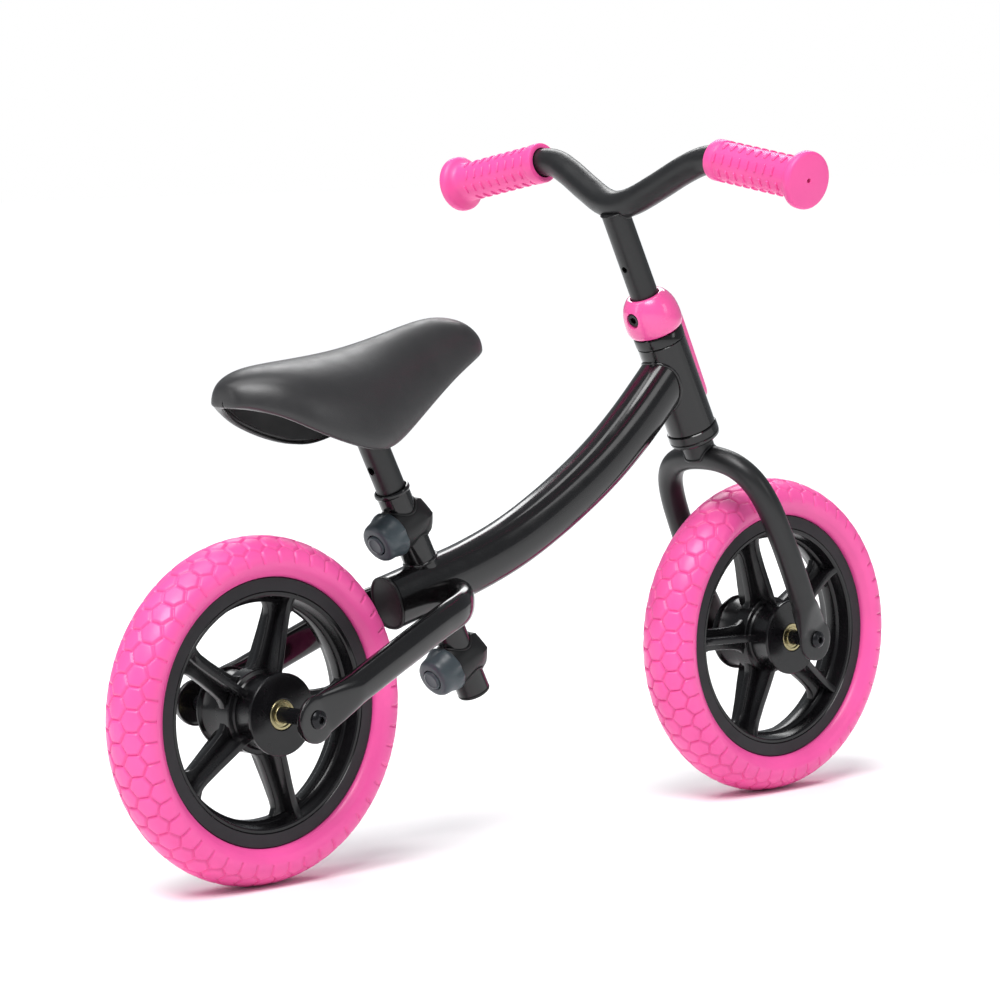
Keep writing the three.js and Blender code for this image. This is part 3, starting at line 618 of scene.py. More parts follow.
for end in WHEEL_MM:
    for side in ("left", "right"):
        axle_details(end, side)
for node in ("axle", "axle_sleeve"):
    for end in WHEEL_MM:
        frame["nodes"][f"{end}_{node}"].data.materials.clear()
        frame["nodes"][f"{end}_{node}"].data.materials.append(FINISH["bolt" if node == "axle" else "plastic"])
print("axle details done")

# %% [markdown]
# ## Main tube
# One bent tube runs from the head tube to a plugged end behind the seat tube. Its section
# is taller than wide with squared shoulders, so a highlight runs along it as a crisp band.
# Ring after ring is extruded along the centreline, and the front end runs on into
# the head tube, so that the joint closes.

# %% Main tube and its plug
MAIN_LINE = [
    (-136.5, 0, 192.4), (-98, 0, 201.5), (-56, 0, 211.8), (-11, 0, 227.2), (37, 0, 250.5), (82.6, 0, 278.3),
    (116.8, 0, 304.6), (150, 0, 335), (165, 0, 350),
]
MAIN_HALF = (16.5, 20.5)
SQUARENESS = 2.5


def main_tube():
    path = through(MAIN_LINE, 90)
    outline = superellipse(*MAIN_HALF, 56, SQUARENESS)
    bm = bmesh.new()
    skin(bm, tube_rings(path, lambda i: outline))
    tube = finished("bent_main_tube", bm, "gloss", "frame", ["main_tube"])
    carve(tube, drill(12.2, -80, 80, UP, SEAT), drill(18.5, 10, 130, UP, FRONT))
    return tube


PLUG_STEPS = [
    (0.2, 0), (0, 0.5), (0, 1.4), (0.5, 2.1), (1.2, 2.2), (1.9, 1.7), (2.4, 1.3), (9, 1.6), (14, 1.8),
]


def tube_end_plug():
    """A shallow dished plug with a lip, in the tube's rear end."""
    back = Vector((-42, 0, -10)).normalized()
    side, up = Vector((0, 1, 0)), Vector((0, 1, 0)).cross(back)
    start = Vector(MAIN_LINE[0]) + back * GAP
    bm = bmesh.new()
    rings = []
    for inset, depth in PLUG_STEPS:
        pairs = superellipse(MAIN_HALF[0] - inset, MAIN_HALF[1] - inset, 56, SQUARENESS)
        rings.append([start + back * depth + side * a + up * b for a, b in pairs])
    skin(bm, rings)
    return finished("main_tube_end_plug", bm, "plastic", "frame", ["main_tube_plug"])


print(main_tube().name, tube_end_plug().name)

# %% [markdown]
# ## Stays
# Two oval tubes hold the rear wheel. Each one leaves the main tube's side, bends outwards
# and runs back to a round flat dropout. The dropout is the tube itself pressed flat, so it
# is made the same way: the rings change from an oval to a thin plate, and the last few
# close up in a half circle round the axle.

# %% Stays
STAY_LINE = [
    (-226, -63.6, 143.6), (-180, -58, 162), (-130, -50.5, 181), (-103, -43.5, 189), (-89, -30, 193),
    (-83.5, -12, 195), (-82, -2, 195.5),
]
STAY_HALF = (8.0, 12.5)
DROPOUT_RADIUS = 17.5
TAPER_END = 8.5


def pressed_end(tube_half, mouth, hole, plate_radius, plate_half, lean):
    """Rings from a whole tube at the mouth to a flat plate rounded about the hole."""
    way = (hole - mouth).normalized()
    length = (hole - mouth).length
    side = way.cross(lean).normalized()
    up = side.cross(way)
    chord = math.sqrt(plate_radius ** 2 - TAPER_END ** 2)
    rings = []
    for i in range(11):
        t = i / 10
        reach = (length - TAPER_END) * t
        press = t ** 1.15
        half = (tube_half[0] + (plate_half - tube_half[0]) * press, tube_half[1] + (chord - tube_half[1]) * t)
        rings.append((reach, half, 2.3 + 2.2 * t))
    for angle in (-22, -12, 0, 12, 24, 36, 48, 60, 70, 78, 84, 88):
        reach = length + plate_radius * math.sin(math.radians(angle))
        rings.append((reach, (plate_half, plate_radius * math.cos(math.radians(angle))), 5.0))
    made = []
    for reach, half, power in rings:
        centre = mouth + way * reach
        made.append([centre + side * a + up * b for a, b in superellipse(*half, 40, power)])
    return made


def stay(side):
    lean = Vector((0, 0, 1))
    axle = WHEEL_MM["rear"]
    hole = Vector((axle.x, -(DROPOUT_FACE["rear"] - DROPOUT_THICKNESS / 2), axle.z))
    path = through(STAY_LINE, 60)
    tube = tube_rings(path, lambda i: superellipse(*STAY_HALF, 40, 2.3), lean)
    way = (hole - path[0]).normalized()
    end = pressed_end(STAY_HALF, path[0], hole, DROPOUT_RADIUS, DROPOUT_THICKNESS / 2, lean)
    flipped = [[ring[(20 - i) % 40] for i in range(40)] for ring in end[1:]]
    bm = bmesh.new()
    skin(bm, flipped[::-1] + tube)
    if side == "left":
        bmesh.ops.transform(bm, matrix=MIRROR, verts=bm.verts)
    tube = finished(f"rear_stay_tube_{side}", bm, "gloss", "frame", [f"stay_{side}"], smooth=40)
    carve(tube, drill(12.2, -80, 80, UP, SEAT))
    return tube


print([stay(side).name for side in ("left", "right")])

# %% [markdown]
# ## Head tube, cups and seat tube
# Straight round tubes are turned. The headset cups sit proud of the head tube by less than
# a millimetre, and a fine dark line shows between each cup and the tube. The seat tube ends
# in a rolled bead at the top and in a plastic plug at the bottom.

# %% Turned frame parts
HEAD = {"outer": 19.5, "inner": 17.0, "bottom": 22.0, "top": 99.0}
SEAT_TUBE = {"outer": 12.7, "inner": 11.4, "bottom": -115.0, "top": 61.0}
HEAD_TUBE_LINE = [
    (HEAD["inner"], HEAD["bottom"]), (HEAD["outer"] - 0.5, HEAD["bottom"]),
    (HEAD["outer"], HEAD["bottom"] + 0.6),
    (HEAD["outer"], HEAD["top"] - 0.6), (HEAD["outer"] - 0.5, HEAD["top"]), (HEAD["inner"], HEAD["top"]),
]
UPPER_CUP = [
    (13.1, 87.2), (16.7, 87.2), (16.7, 99.3), (19.4, 99.3), (20, 100), (20, 106.8), (19.3, 107.8),
    (13.1, 108),
]
LOWER_CUP = [
    (13.1, 34), (16.7, 34), (16.7, 21.7), (19.8, 21.7), (20.5, 21), (20.6, 15.4), (20.1, 14.9),
    (19.9, 14.4),
    (20.3, 13.9), (20.1, 12.2), (19.2, 11.2), (13.1, 11),
]
SEAT_TUBE_LINE = [
    (11.4, -115), (12.3, -115), (12.7, -114.6), (12.7, 57.6), (13.4, 58), (13.9, 59), (13.8, 60.6),
    (13.2, 61.5),
    (12.2, 61.6), (11.7, 61), (11.4, 60),
]
PLUG_LINE = [
    (0, -103), (11.1, -103), (11.1, -115.3), (12.6, -115.3), (12.7, -116), (12.3, -117.1), (11.2, -117.8),
    (9.6, -118), (8.8, -117.5), (8.2, -117.2), (0, -117.4),
]


turned_piece("steering_head_tube", HEAD_TUBE_LINE, "gloss", "frame", "head_tube", FRONT)
turned_piece("headset_cup_top", UPPER_CUP, "gloss", "frame", "headset_cup_upper", FRONT)
turned_piece("headset_cup_bottom", LOWER_CUP, "gloss", "frame", "headset_cup_lower", FRONT)
turned_piece("seat_tube_with_bead", SEAT_TUBE_LINE, "gloss", "frame", "seat_tube", SEAT)
turned_piece("seat_tube_end_plug", PLUG_LINE, "plastic", "frame", "seat_tube_plug", SEAT, closed=False)
print("turned frame parts done")

# %% [markdown]
# ## Welds
# Where one tube ends on another there is a small weld bead. Its line is the curve where
# the two surfaces meet. It is found by walking each point of one tube's section along that
# tube until it reaches the other tube's wall, and a thin bead is then skinned along it.

# %% Weld beads
def walk_to_cylinder(start, way, to_local, radius):
    """The first point from start along way that lies on a round tube about local Z."""
    p, d = to_local @ start, (to_local.to_3x3() @ way)
    a = d.x ** 2 + d.y ** 2
    b = 2 * (p.x * d.x + p.y * d.y)
    c = p.x ** 2 + p.y ** 2 - radius ** 2
    root = b * b - 4 * a * c
    if root < 0:
        return None
    t = (-b - math.sqrt(root)) / (2 * a)
    return start + way * t


def head_weld():
    """The bead round the main tube's front end, on the head tube."""
    back, tip = Vector(MAIN_LINE[-4]), Vector(MAIN_LINE[-2])
    way = (tip - back).normalized()
    side = way.cross(Vector((0, 0, 1))).normalized()
    up = side.cross(way)
    inverse = FRONT_MM.inverted()
    line = []
    for a, b in superellipse(MAIN_HALF[0] + 0.2, MAIN_HALF[1] + 0.2, 64, SQUARENESS):
        start = tip - way * 40 + side * a + up * b
        line.append(walk_to_cylinder(start, way, inverse, HEAD["outer"] + 0.2))
    return weld_bead("weld_head_tube", line, 1.3, "gloss", "frame")


def walk_out(start, way, path, inside):
    """The first point from start along way that has left the tube round a path."""
    for step in range(160):
        spot = start + way * (step * 0.25)
        near = min(path, key=lambda p: (p - spot).length_squared)
        if not inside(spot - near):
            return spot
    return spot


def seat_weld():
    """The beads where the seat tube enters the main tube, above and below."""
    path = through(MAIN_LINE, 200)
    made = []
    for name, sign in (("top", 1), ("under", -1)):
        way = SEAT_TURN @ Vector((0, 0, sign))
        line = []
        for a, b in superellipse(SEAT_TUBE["outer"] + 0.1, SEAT_TUBE["outer"] + 0.1, 48):
            line.append(walk_out(SEAT_MM @ Vector((a, b, 0)), way, path, inside_main_tube))
        made.append(weld_bead(f"weld_seat_tube_{name}", line, 1.2, "gloss", "frame"))
    return made


def inside_main_tube(offset):
    height = math.hypot(offset.x, offset.z)
    return abs(offset.y / MAIN_HALF[0]) ** SQUARENESS + (height / MAIN_HALF[1]) ** SQUARENESS < 1


print(head_weld().name, [piece.name for piece in seat_weld()])

# %% [markdown]
# ## Clamps and knobs
# The post is held by a turn knob. A plastic boss crosses the seat tube: round on the
# knob's side and six-sided in front, where it traps the nut. The knob has a flange with
# four shallow finger hollows, a rounded nose and a raised cap. Both are skinned ring by
# ring along the screw.

# %% Clamp bodies
CLAMP_RADIUS = 16.0
KNOB_BASE = SEAT_TUBE["outer"] + 0.9
FINGER = {"distance": 25.0, "radius": 9.0}


def blended_outline(radius, six_sided, count=48):
    """A ring between round, 0, and six-sided, 1, as pairs across and up."""
    pairs = []
    for i in range(count):
        angle = 2 * math.pi * i / count
        fold = (angle % (math.pi / 3)) - math.pi / 6
        flat = math.cos(math.pi / 6) / math.cos(fold)
        reach = radius * (1 + (flat - 1) * six_sided)
        pairs.append((reach * math.cos(angle), reach * math.sin(angle)))
    return pairs


def clamp(level):
    stations = [
        (-13.5, 14.6, 0), (-13.6, 15.2, 0), (-13.2, 15.8, 0), (-12.4, 16, 0), (2, 16, 0), (6, 16.05, 0.15),
        (8.5, 16.3, 0.45), (10.5, 16.45, 0.7), (11.8, 16.3, 0.82), (14, 15.7, 0.85), (16.2, 14.7, 0.85),
        (17.2, 13.7, 0.85), (17.5, 12.7, 0.85), (17.5, 6.9, 1), (17.2, 6.4, 1), (15.2, 6.3, 1),
    ]
    bm = bmesh.new()
    rings = [[Vector((x, a, b)) for a, b in blended_outline(radius, six)] for x, radius, six in stations]
    skin(bm, rings)
    place = SEAT @ Matrix.Translation((0, 0, CLAMP_HEIGHT[level]))
    boss = finished(f"clamp_boss_{level}", bm, "plastic", "frame", [f"clamp_{level}"], place)
    carve(boss, drill(12.2, -130, 80, UP, SEAT))
    return boss


def clamp_fillet(level, sign):
    """The soft line where the boss meets the seat tube."""
    line = []
    for i in range(56):
        angle = 2 * math.pi * i / 56
        x, y = 12.8 * math.cos(angle), 12.8 * math.sin(angle)
        line.append((x, y, sign * math.sqrt(CLAMP_RADIUS ** 2 - y * y)))
    place = SEAT @ Matrix.Translation((0, 0, CLAMP_HEIGHT[level]))
    name = f"clamp_edge_{level}_{'top' if sign > 0 else 'under'}"
    return weld_bead(name, line, 1.1, "plastic", "frame", place)


# %% Knobs
KNOB_LINE = [
    (4.6, 0.0), (16.6, 0.0), (17.4, 0.3), (18.0, 1.2), (18.0, 3.2), (17.6, 4.6), (16.9, 6.4), (16.2, 8.4),
    (15.7, 10.6), (15.4, 13.2), (15.0, 15.2), (14.1, 16.9), (12.6, 17.9), (11.2, 18.2),
    (8.6, 18.2), (8.2, 17.8), (8.0, 13.5),
]
CAP_LINE = [
    (0, 14), (7.6, 14), (7.6, 18.5), (7.3, 19.2), (6.6, 19.7), (5.6, 19.9), (5.2, 19.6), (4.8, 19.5),
    (0, 19.6),
]


def finger_outline(radius, count=96):
    """A round outline with four shallow hollows, as pairs."""
    pairs = []
    for i in range(count):
        angle = 2 * math.pi * i / count
        off = angle % (math.pi / 2) - math.pi / 4
        across = FINGER["distance"] * math.sin(off)
        reach = radius
        if abs(across) < FINGER["radius"]:
            hollow = math.sqrt(FINGER["radius"] ** 2 - across ** 2)
            reach = min(radius, FINGER["distance"] * math.cos(off) - hollow)
        pairs.append((reach * math.cos(angle + math.pi / 4), reach * math.sin(angle + math.pi / 4)))
    return pairs


def knob(level):
    place = SEAT @ Matrix.Translation((0, 0, CLAMP_HEIGHT[level])) @ REAR
    bm = bmesh.new()
    rings = []
    for radius, h in KNOB_LINE:
        rings.append([Vector((a, b, KNOB_BASE + GAP + h)) for a, b in finger_outline(radius)])
    skin(bm, rings)
    body = f"{level}_knob"
    finished(f"turn_knob_{level}", bm, "knob", body, [f"knob_{level}"], place)
    cap = [(radius, KNOB_BASE + GAP + h) for radius, h in CAP_LINE]
    turned_piece(f"turn_knob_cap_{level}", cap, "knob", body, f"knob_cap_{level}", place, UP, 56, closed=False)


for level in CLAMP_HEIGHT:
    clamp(level)
    for sign in (1, -1):
        clamp_fillet(level, sign)
    knob(level)
    screw = frame["nodes"][f"knob_screw_{level}"]
    screw.data.materials.clear()
    screw.data.materials.append(FINISH["bolt"])
print("clamps and knobs done")

# %% [markdown]
# ## Fork
# The fork is one round tube bent into an arch over the tyre, with both ends pressed flat
# for the axle. The rings run from one dropout up the leg, over the crown and down again.
# A short length of steerer tube stands on the crown and disappears into the lower cup.

# %% Fork and steerer
FORK_RADIUS = 10.0
FORK_PLATE = 17.0
FORK_LEG = [
    (0, 0, -5.6), (0, -19.5, -7.4), (0.6, -34.5, -13.8), (1.4, -45.5, -26), (2, -52, -45), (2, -55, -80),
    (1, -56, -122), (0.5, -56, -137),
]


def fork():
    to_front = FRONT_MM.inverted()
    axle = to_front @ WHEEL_MM["front"]
    path = through(both_sides(FORK_LEG), 130)
    forward = Vector((1, 0, 0))
    outline = superellipse(FORK_RADIUS, FORK_RADIUS, 40)
    arch = tube_rings(path, lambda i: outline, forward)
    plate_middle = DROPOUT_FACE["front"] - DROPOUT_THICKNESS / 2
    tube_half = (FORK_RADIUS, FORK_RADIUS)
    ends = []
    for centre, sign in ((path[0], 1), (path[-1], -1)):
        hole = Vector((axle.x, sign * plate_middle, axle.z))
        ends.append(pressed_end(tube_half, centre, hole, FORK_PLATE, DROPOUT_THICKNESS / 2, forward))
    start = [[ring[(20 - i) % 40] for i in range(40)] for ring in ends[0][1:]]
    bm = bmesh.new()
    skin(bm, start[::-1] + arch + ends[1][1:])
    return finished("arched_fork", bm, "satin", "fork", ["fork"], FRONT, smooth=40)


STEERER_LINE = [(11.4, -4), (12.7, -4), (12.7, 136), (11.4, 136)]
fork()
turned_piece("steerer_column", STEERER_LINE, "satin", "fork", "steerer_tube", FRONT)
print("fork done")


# %% Crown weld
def crown_weld():
    """The bead where the steerer stands on the fork's arch."""
    path = through(both_sides(FORK_LEG[:4]), 120)
    line = []
    for a, b in superellipse(12.7, 12.7, 56):
        start = Vector((min(9.6, max(-9.6, a)), b, -6))
        spot = walk_out(start, Vector((0, 0, 1)), path, lambda offset: offset.length < FORK_RADIUS)
        line.append((a, b, max(-4.5, spot.z)))
    return weld_bead("weld_fork_crown", line, 1.1, "satin", "fork", FRONT)


print(crown_weld().name)

# %% [markdown]
# ## Collar with its shield
# The pink collar closes the headset and pinches the bar's stem. Its rounded body is
# turned. A flat-faced shield hangs from it down the front of the head tube, hollow behind
# to clear the tube. A deep round pocket at the rear holds a socket screw.

# %% Collar and shield
COLLAR_BOLT_HEIGHT = 127.0
COLLAR_LINE = [
    (13.1, 108.6), (18.9, 108.6), (19.8, 109), (21, 110), (21.9, 111.6), (22.5, 114), (22.7, 117),
    (22.6, 120.5),
    (22.2, 124.5), (21.5, 128.3), (20.3, 132), (18.5, 135.4), (16.5, 138), (14.9, 139.5), (13.4, 140),
    (12.2, 139.8), (11.7, 139.2), (11.6, 136.5), (13.1, 136.5),
]
SHIELD_STATIONS = [
    (120.5, 8.6, 22.4), (117, 8.6, 23.0), (110, 8.55, 23.2), (100, 8.4, 23.2), (90, 8.2, 23.2),
    (80, 8.0, 23.2), (68, 7.7, 23.2), (56, 7.4, 23.2), (47, 7.15, 23.2), (43, 6.9, 23.15),
    (40.4, 6.2, 23.0), (38.9, 5.0, 22.8),
    (38.2, 3.6, 22.5),
]
SHIELD_BACK = 20.75


def shield_outline(height, half, front):
    """One level of the shield: flat in front with soft corners, hollow behind."""
    back = []
    for i in range(13):
        y = -half + 2 * half * i / 12
        back.append(Vector((math.sqrt(SHIELD_BACK ** 2 - y * y), y, height)))
    corner = 0.9
    face = [
        (front - corner, half), (front - 0.25, half - 0.25), (front, half - corner),
        (front, 0), (front, corner - half), (front - 0.25, 0.25 - half), (front - corner, -half),
    ]
    return back + [Vector((x, y, height)) for x, y in face]


def collar():
    body = turned_piece("headset_collar", COLLAR_LINE, "collar", "fork", "collar_shield", FRONT, steps=96)
    carve(body, drill(6.1, 15.6, 30, REAR, FRONT, COLLAR_BOLT_HEIGHT))
    bm = bmesh.new()
    skin(bm, [shield_outline(*station) for station in SHIELD_STATIONS])
    finished("headset_collar_shield", bm, "collar", "fork", [], FRONT)
    return body


def collar_screw():
    """A socket screw at the bottom of the pocket."""
    bm = bmesh.new()
    rings = [round_ring(4.9, 15.8), round_ring(5.3, 16.2), round_ring(5.3, 19.6), round_ring(4.9, 20.1),
             round_ring(3.2, 20.1), hexagon(2.9, 19.8), hexagon(2.8, 17.2)]
    made = skin(bm, rings)
    bmesh.ops.transform(bm, matrix=Matrix.Translation((0, 0, COLLAR_BOLT_HEIGHT)) @ REAR, verts=made)
    return finished("collar_socket_screw", bm, "bolt", "fork", ["collar_bolt"], FRONT)


print(collar().name, collar_screw().name)

# %% [markdown]
# ## Handlebar and grips
# The bar dips in the middle, where it is welded to its stem, and rises to the grips. The
# grips are soft rubber. Their barrel carries short raised bars in staggered columns, with
# a plain collar inside and a wide rounded flange outside.

# %% Handlebar
BAR_RADIUS = 11.1
BAR_LINE = [
    (4.5, 0, 215.7), (7.2, -16, 217.7), (14.8, -38, 225.2), (24.6, -64, 235.3), (29.7, -80, 239.8),
    (30.9, -94, 241),
    (27.4, -128, 236.4), (21.3, -184, 228.5),
]
STEM_LINE = [(0, 62), (10.6, 62), (11.1, 62.6), (11.1, 213), (0, 213)]


def handlebar():
    path = through(both_sides(BAR_LINE), 130)
    outline = superellipse(BAR_RADIUS, BAR_RADIUS, 40)
    bm = bmesh.new()
    skin(bm, tube_rings(path, lambda i: outline))
    finished("dipped_handlebar", bm, "satin", "handlebar", ["handlebar"], FRONT)
    stem = turned_piece("handlebar_stem", STEM_LINE, "satin", "handlebar", None, FRONT, UP, 64, closed=False)
    carve(stem, *[drill(2.6, 6, 14, REAR, FRONT, COLLAR_BOLT_HEIGHT + up) for up in (0, 40)])
    line = []
    for a, b in superellipse(11.15, 11.15, 56):
        start = Vector((min(14.6, max(-6, a)), b, 215.7))
        spot = walk_out(start, Vector((0, 0, -1)), path, lambda offset: offset.length < BAR_RADIUS)
        line.append((a, b, min(spot.z, 212.4)))
    weld_bead("weld_handlebar", line, 0.8, "satin", "handlebar", FRONT)


handlebar()
print("handlebar done")

# %% Grips
GRIP_START, GRIP_END = Vector((30.8, -96, 240.8)), Vector((20.3, -194, 227))
GRIP_LENGTH = (GRIP_END - GRIP_START).length
GRIP_BARREL = 14.9
GRIP_LINE = [
    (12, 0.3), (14.6, 0), (15.6, 0.5), (16.0, 1.6), (16.0, 8.4), (15.6, 9.4), (GRIP_BARREL, 10.2),
    (GRIP_BARREL, GRIP_LENGTH - 14), (15.3, GRIP_LENGTH - 11.8), (16.6, GRIP_LENGTH - 10.2),
    (19, GRIP_LENGTH - 8.8), (21, GRIP_LENGTH - 7.6), (21.9, GRIP_LENGTH - 6.2), (22, GRIP_LENGTH - 2.6),
    (21.6, GRIP_LENGTH - 1.1), (20.6, GRIP_LENGTH - 0.2), (19.6, GRIP_LENGTH),
    (2.2, GRIP_LENGTH), (1.7, GRIP_LENGTH - 0.5),
    (1.6, GRIP_LENGTH - 7), (12, GRIP_LENGTH - 7),
]
GRIP_COLUMNS = 8
GRIP_ROWS = 8
GRIP_PITCH = 9.0


def raised_bar(bm, angle, height):
    """One short bar that lies round the barrel, rounded off on top."""
    rings = []
    for i in range(9):
        t = i / 4 - 1
        here = angle + math.radians(15.5) * t
        swell = math.sqrt(max(0.0, 1 - t ** 6)) * 0.85 + 0.15
        half, rise = 1.35 * swell, 1.2 * swell
        out = Vector((math.cos(here), math.sin(here), 0))
        pairs = [(-half, -0.6), (-half * 0.9, rise * 0.55), (-half * 0.45, rise), (half * 0.45, rise),
                 (half * 0.9, rise * 0.55), (half, -0.6)]
        rings.append([out * (GRIP_BARREL + r) + Vector((0, 0, height + z)) for z, r in pairs])
    skin(bm, rings)


def grip(side):
    bm = bmesh.new()
    turn(bm, GRIP_LINE, UP, 96)
    for column in range(GRIP_COLUMNS):
        for row in range(GRIP_ROWS):
            height = 15.5 + GRIP_PITCH * row - (GRIP_PITCH / 2 if column % 2 else 0)
            raised_bar(bm, 2 * math.pi * column / GRIP_COLUMNS, height)
    along = (GRIP_END - GRIP_START).normalized()
    place = Matrix.Translation(GRIP_START) @ Vector((0, 0, 1)).rotation_difference(along).to_matrix().to_4x4()
    flip = MIRROR if side == "left" else UP
    return finished(f"ribbed_grip_{side}", bm, "grip", "handlebar", [f"grip_{side}"], FRONT @ flip @ place)


print([grip(side).name for side in ("left", "right")])

# %% [markdown]
# ## Saddle
# The saddle is a padded one-piece cover over a hard base. From the side it runs from
# a low wide rear, with a skirt that drops over the sides, to a raised narrow nose. It is
# skinned from arch-shaped rings, thick as the padding, and softened by subdivision. Under
# it, the hard base shows its edge, its ribs and the socket that takes the post.

# %% Saddle cover
SADDLE_STATIONS = [
    (-288.5, 361, 347, 10), (-286, 364.5, 346.5, 16), (-280, 368.6, 346, 23.5), (-270, 372.4, 343, 33),
    (-258, 375, 338, 42.5),
    (-242, 376.8, 329, 50), (-216, 378.7, 318.3, 54), (-190, 381.2, 311, 54), (-172, 383.7, 310, 50.5),
    (-152, 387.7, 316.5, 43), (-130, 392.8, 328.5, 36), (-108, 398.4, 341.7, 30.3), (-86, 402.6, 356, 26.8),
    (-66, 400, 365.7, 22.3), (-54, 394.5, 370.3, 17.5), (-47, 388.5, 372.8, 12.5), (-44.5, 384.5, 374, 8.5),
]
PAD_THICKNESS = 8.0


def arch(x, crown, rim, half, inset, sense, count=19):
    points = []
    for i in range(count):
        angle = sense * (2 * i / (count - 1) - 1) * math.pi / 2
        rise = abs(math.cos(angle)) ** 0.85
        reach = math.copysign(abs(math.sin(angle)) ** 0.9, angle)
        points.append(Vector((x, reach * (half - inset), rim + rise * (crown - rim - inset))))
    return points


def shell(bm, stations, outer, inner, solid=()):
    """An arched shell; at the stations numbered in solid it is filled right through."""
    rings = []
    for i, (x, crown, rim, half) in enumerate(stations):
        thin = min(inner, half * 0.62)
        if i in solid:
            thin = min(half, crown - rim) * 0.93
        skin_line = arch(x, crown, rim, half, min(outer, half * 0.4), 1)
        rings.append(skin_line + arch(x, crown, rim, half, thin, -1))
    return skin(bm, rings)


bm = bmesh.new()
shell(bm, SADDLE_STATIONS, 0, PAD_THICKNESS, solid=(0, 1, 2, 15, 16))
cover = finished("saddle_cover", bm, "saddle", "saddle", ["saddle_pad"], smooth=180, subdivide=2)
print(cover.name, len(cover.data.polygons), "faces before softening")

# %% [markdown]
# The base is a second, thinner shell inside the cover. Its edge is the pale line that
# shows round the opening. Two long ribs and two cross ribs stiffen it, and a round socket
# takes the post.

# %% Saddle base
BASE_TOP, BASE_UNDER = 9.2, 12.0
BASE_RIBS = [
    ((-216, -15, 352), (64, 2.4, 22)), ((-216, 15, 352), (64, 2.4, 22)),
    ((-238, 0, 350), (2.4, 64, 16)), ((-200, 0, 350), (2.4, 74, 16)),
]


def saddle_base():
    inner = [(x, crown, rim + 5, half) for x, crown, rim, half in SADDLE_STATIONS if -262 < x < -80]
    bm = bmesh.new()
    shell(bm, inner, BASE_TOP, BASE_UNDER)
    turned = turn(bm, [(11.5, 116), (15.1, 116), (15.1, 160), (11.5, 160)], UP, 56)
    bmesh.ops.transform(bm, matrix=SEAT_MM, verts=turned)
    for centre, size in BASE_RIBS:
        made = bmesh.ops.create_cube(bm, size=1)["verts"]
        bmesh.ops.transform(bm, matrix=Matrix.Translation(centre) @ Matrix.Diagonal((*size, 1)), verts=made)
    return finished("saddle_hard_base", bm, "plastic", "saddle", ["saddle_base"])


def saddle_lip():
    """The rolled edge of the base along the opening, all the way round."""
    edge = [(x, half, rim) for x, crown, rim, half in SADDLE_STATIONS]
    left = [(x, max(2.0, half - PAD_THICKNESS - 0.6), rim + 2.6) for x, half, rim in edge[3:-3]]
    path = through(left, 60)
    round_trip = path + [Vector((p.x, -p.y, p.z)) for p in path[::-1]]
    return weld_bead("saddle_base_edge", round_trip, 1.0, "plastic", "saddle")


print(saddle_base().name, saddle_lip().name)

# %% Seat post
POST_LINE = [(9.3, -24), (10.7, -24), (11.1, -23.5), (11.1, 150), (9.3, 150)]
HOLE_HEIGHTS = [CLAMP_HEIGHT["upper"] + 25.5 * i for i in (-1, 0, 1, 2)]
post = turned_piece("saddle_post", POST_LINE, "satin", "saddle", "seat_post", SEAT)
carve(post, *[drill(3.1, 6, 14, REAR, SEAT, height) for height in HOLE_HEIGHTS])


def hole_lip(height, index):
    line = [(-math.sqrt(11.15 ** 2 - (3.5 * math.cos(a)) ** 2), 3.5 * math.cos(a), height + 3.5 * math.sin(a))
            for a in (2 * math.pi * i / 32 for i in range(32))]
    return weld_bead(f"post_hole_lip_{index}", line, 0.22, "satin", "saddle", SEAT)


print([hole_lip(height, i).name for i, height in enumerate(HOLE_HEIGHTS[3:])])

# %% [markdown]
# ## Studio
# A pale floor and a pale backdrop, a soft sun from behind and above, and four softboxes.
# The long strip overhead and the box on the far side draw the bright band along the tubes.
# The backdrop is white only to the camera, so that the black parts don't turn grey in it.

# %% Floor and lights
def studio_floor():
    bm = bmesh.new()
    bmesh.ops.create_grid(bm, x_segments=2, y_segments=2, size=30)
    mesh = bpy.data.meshes.new("studio_floor")
    bm.to_mesh(mesh)
    bm.free()
    floor = bpy.data.objects.new("studio_floor", mesh)
    bpy.context.scene.collection.objects.link(floor)
    material = bpy.data.materials.new("studio_floor")
    material.use_nodes = True
    shader = material.node_tree.nodes["Principled BSDF"]
    shader.inputs["Base Color"].default_value = (0.98, 0.98, 0.98, 1)
    shader.inputs["Roughness"].default_value = 0.9
    shader.inputs["Specular IOR Level"].default_value = 0.1
    mesh.materials.append(material)


def softbox(name, place, aim, size, power):
    light = bpy.data.lights.new(name, "AREA")
    light.shape = "RECTANGLE"
    light.size, light.size_y = size
    light.energy = power
    lamp = bpy.data.objects.new(name, light)
    lamp.location = place
    lamp.rotation_euler = (Vector(aim) - Vector(place)).to_track_quat("-Z", "Y").to_euler()
    bpy.context.scene.collection.objects.link(lamp)


def sunlight(towards, strength, spread_deg):
    light = bpy.data.lights.new("soft_sun", "SUN")
    light.energy = strength
    light.angle = math.radians(spread_deg)
    lamp = bpy.data.objects.new("soft_sun", light)
    lamp.rotation_euler = Vector(towards).to_track_quat("Z", "Y").to_euler()
    bpy.context.scene.collection.objects.link(lamp)


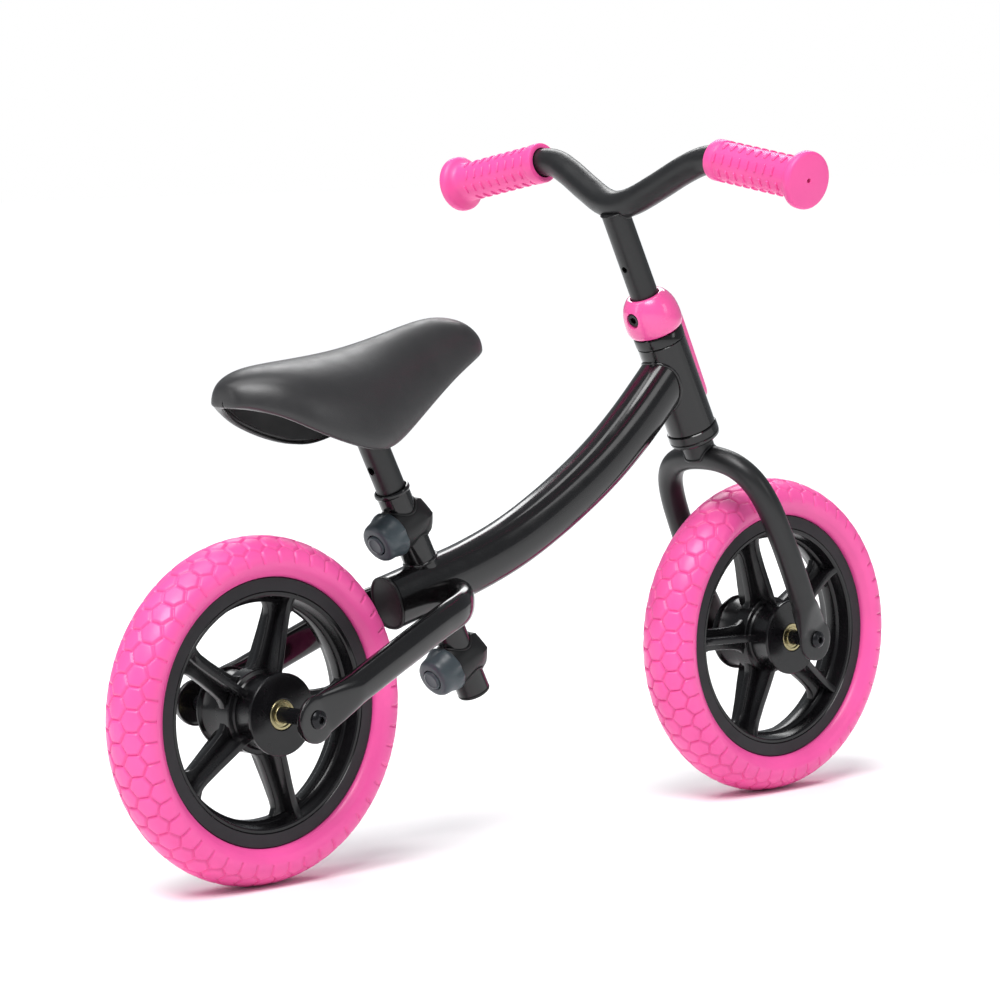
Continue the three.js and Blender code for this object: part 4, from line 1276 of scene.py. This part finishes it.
studio_floor()
AIM = (0, 0, 0.26)
sunlight((-0.45, -0.3, 0.85), 2.9, 34)
softbox("overhead_strip", (-0.5, 0.3, 2.2), AIM, (0.5, 2.2), 14)
softbox("far_box", (1.6, 1.5, 2.0), AIM, (1.8, 0.7), 24)
softbox("camera_left_box", (-2.4, 0.9, 1.2), AIM, (0.5, 1.4), 6)
softbox("camera_right_box", (0.9, -2.4, 1.3), AIM, (0.6, 1.2), 6)

# %% Backdrop
world = bpy.data.worlds.new("studio_world")
bpy.context.scene.world = world
world.use_nodes = True
sky = world.node_tree
fill = sky.nodes["Background"]
fill.inputs["Color"].default_value = (0.9, 0.95, 1, 1)
fill.inputs["Strength"].default_value = 0.32
sheet = sky.nodes.new("ShaderNodeBackground")
sheet.inputs["Color"].default_value = (1, 1, 1, 1)
either = sky.nodes.new("ShaderNodeMixShader")
sky.links.new(sky.nodes.new("ShaderNodeLightPath").outputs["Is Camera Ray"], either.inputs[0])
sky.links.new(fill.outputs[0], either.inputs[1])
sky.links.new(sheet.outputs[0], either.inputs[2])
sky.links.new(either.outputs[0], sky.nodes["World Output"].inputs["Surface"])
bpy.context.scene.view_settings.view_transform = "Standard"
print("studio done")

# %% [markdown]
# ## Camera
# The view is from the rear right, low and far away with a long lens, and turned very
# slightly about its own axis.

# %% Camera
def studio_camera():
    azimuth, elevation, roll = (math.radians(v) for v in (-42.66, 5.29, -1.39))
    level = math.cos(elevation)
    back = Vector((math.sin(azimuth) * level, -math.cos(azimuth) * level, math.sin(elevation)))
    right = Vector((0, 0, 1)).cross(back).normalized()
    up = back.cross(right)
    across = right * math.cos(roll) + up * math.sin(roll)
    above = up * math.cos(roll) - right * math.sin(roll)
    data = bpy.data.cameras.new("studio_camera")
    data.lens, data.sensor_width = 141.09, 36
    camera = bpy.data.objects.new("studio_camera", data)
    camera.matrix_world = Matrix((across, above, back)).transposed().to_4x4()
    camera.location = (-2.0294, -2.1784, 0.5340)
    bpy.context.scene.collection.objects.link(camera)
    bpy.context.scene.camera = camera
    return camera


print(studio_camera().name)

# %% [markdown]
# ## Last update
# The finished bike must fill the same box as its CAD model. At the end the scene is
# brought up to date, so that every piece stands in its final place.

# %% Bring the scene up to date
bpy.context.view_layer.update()
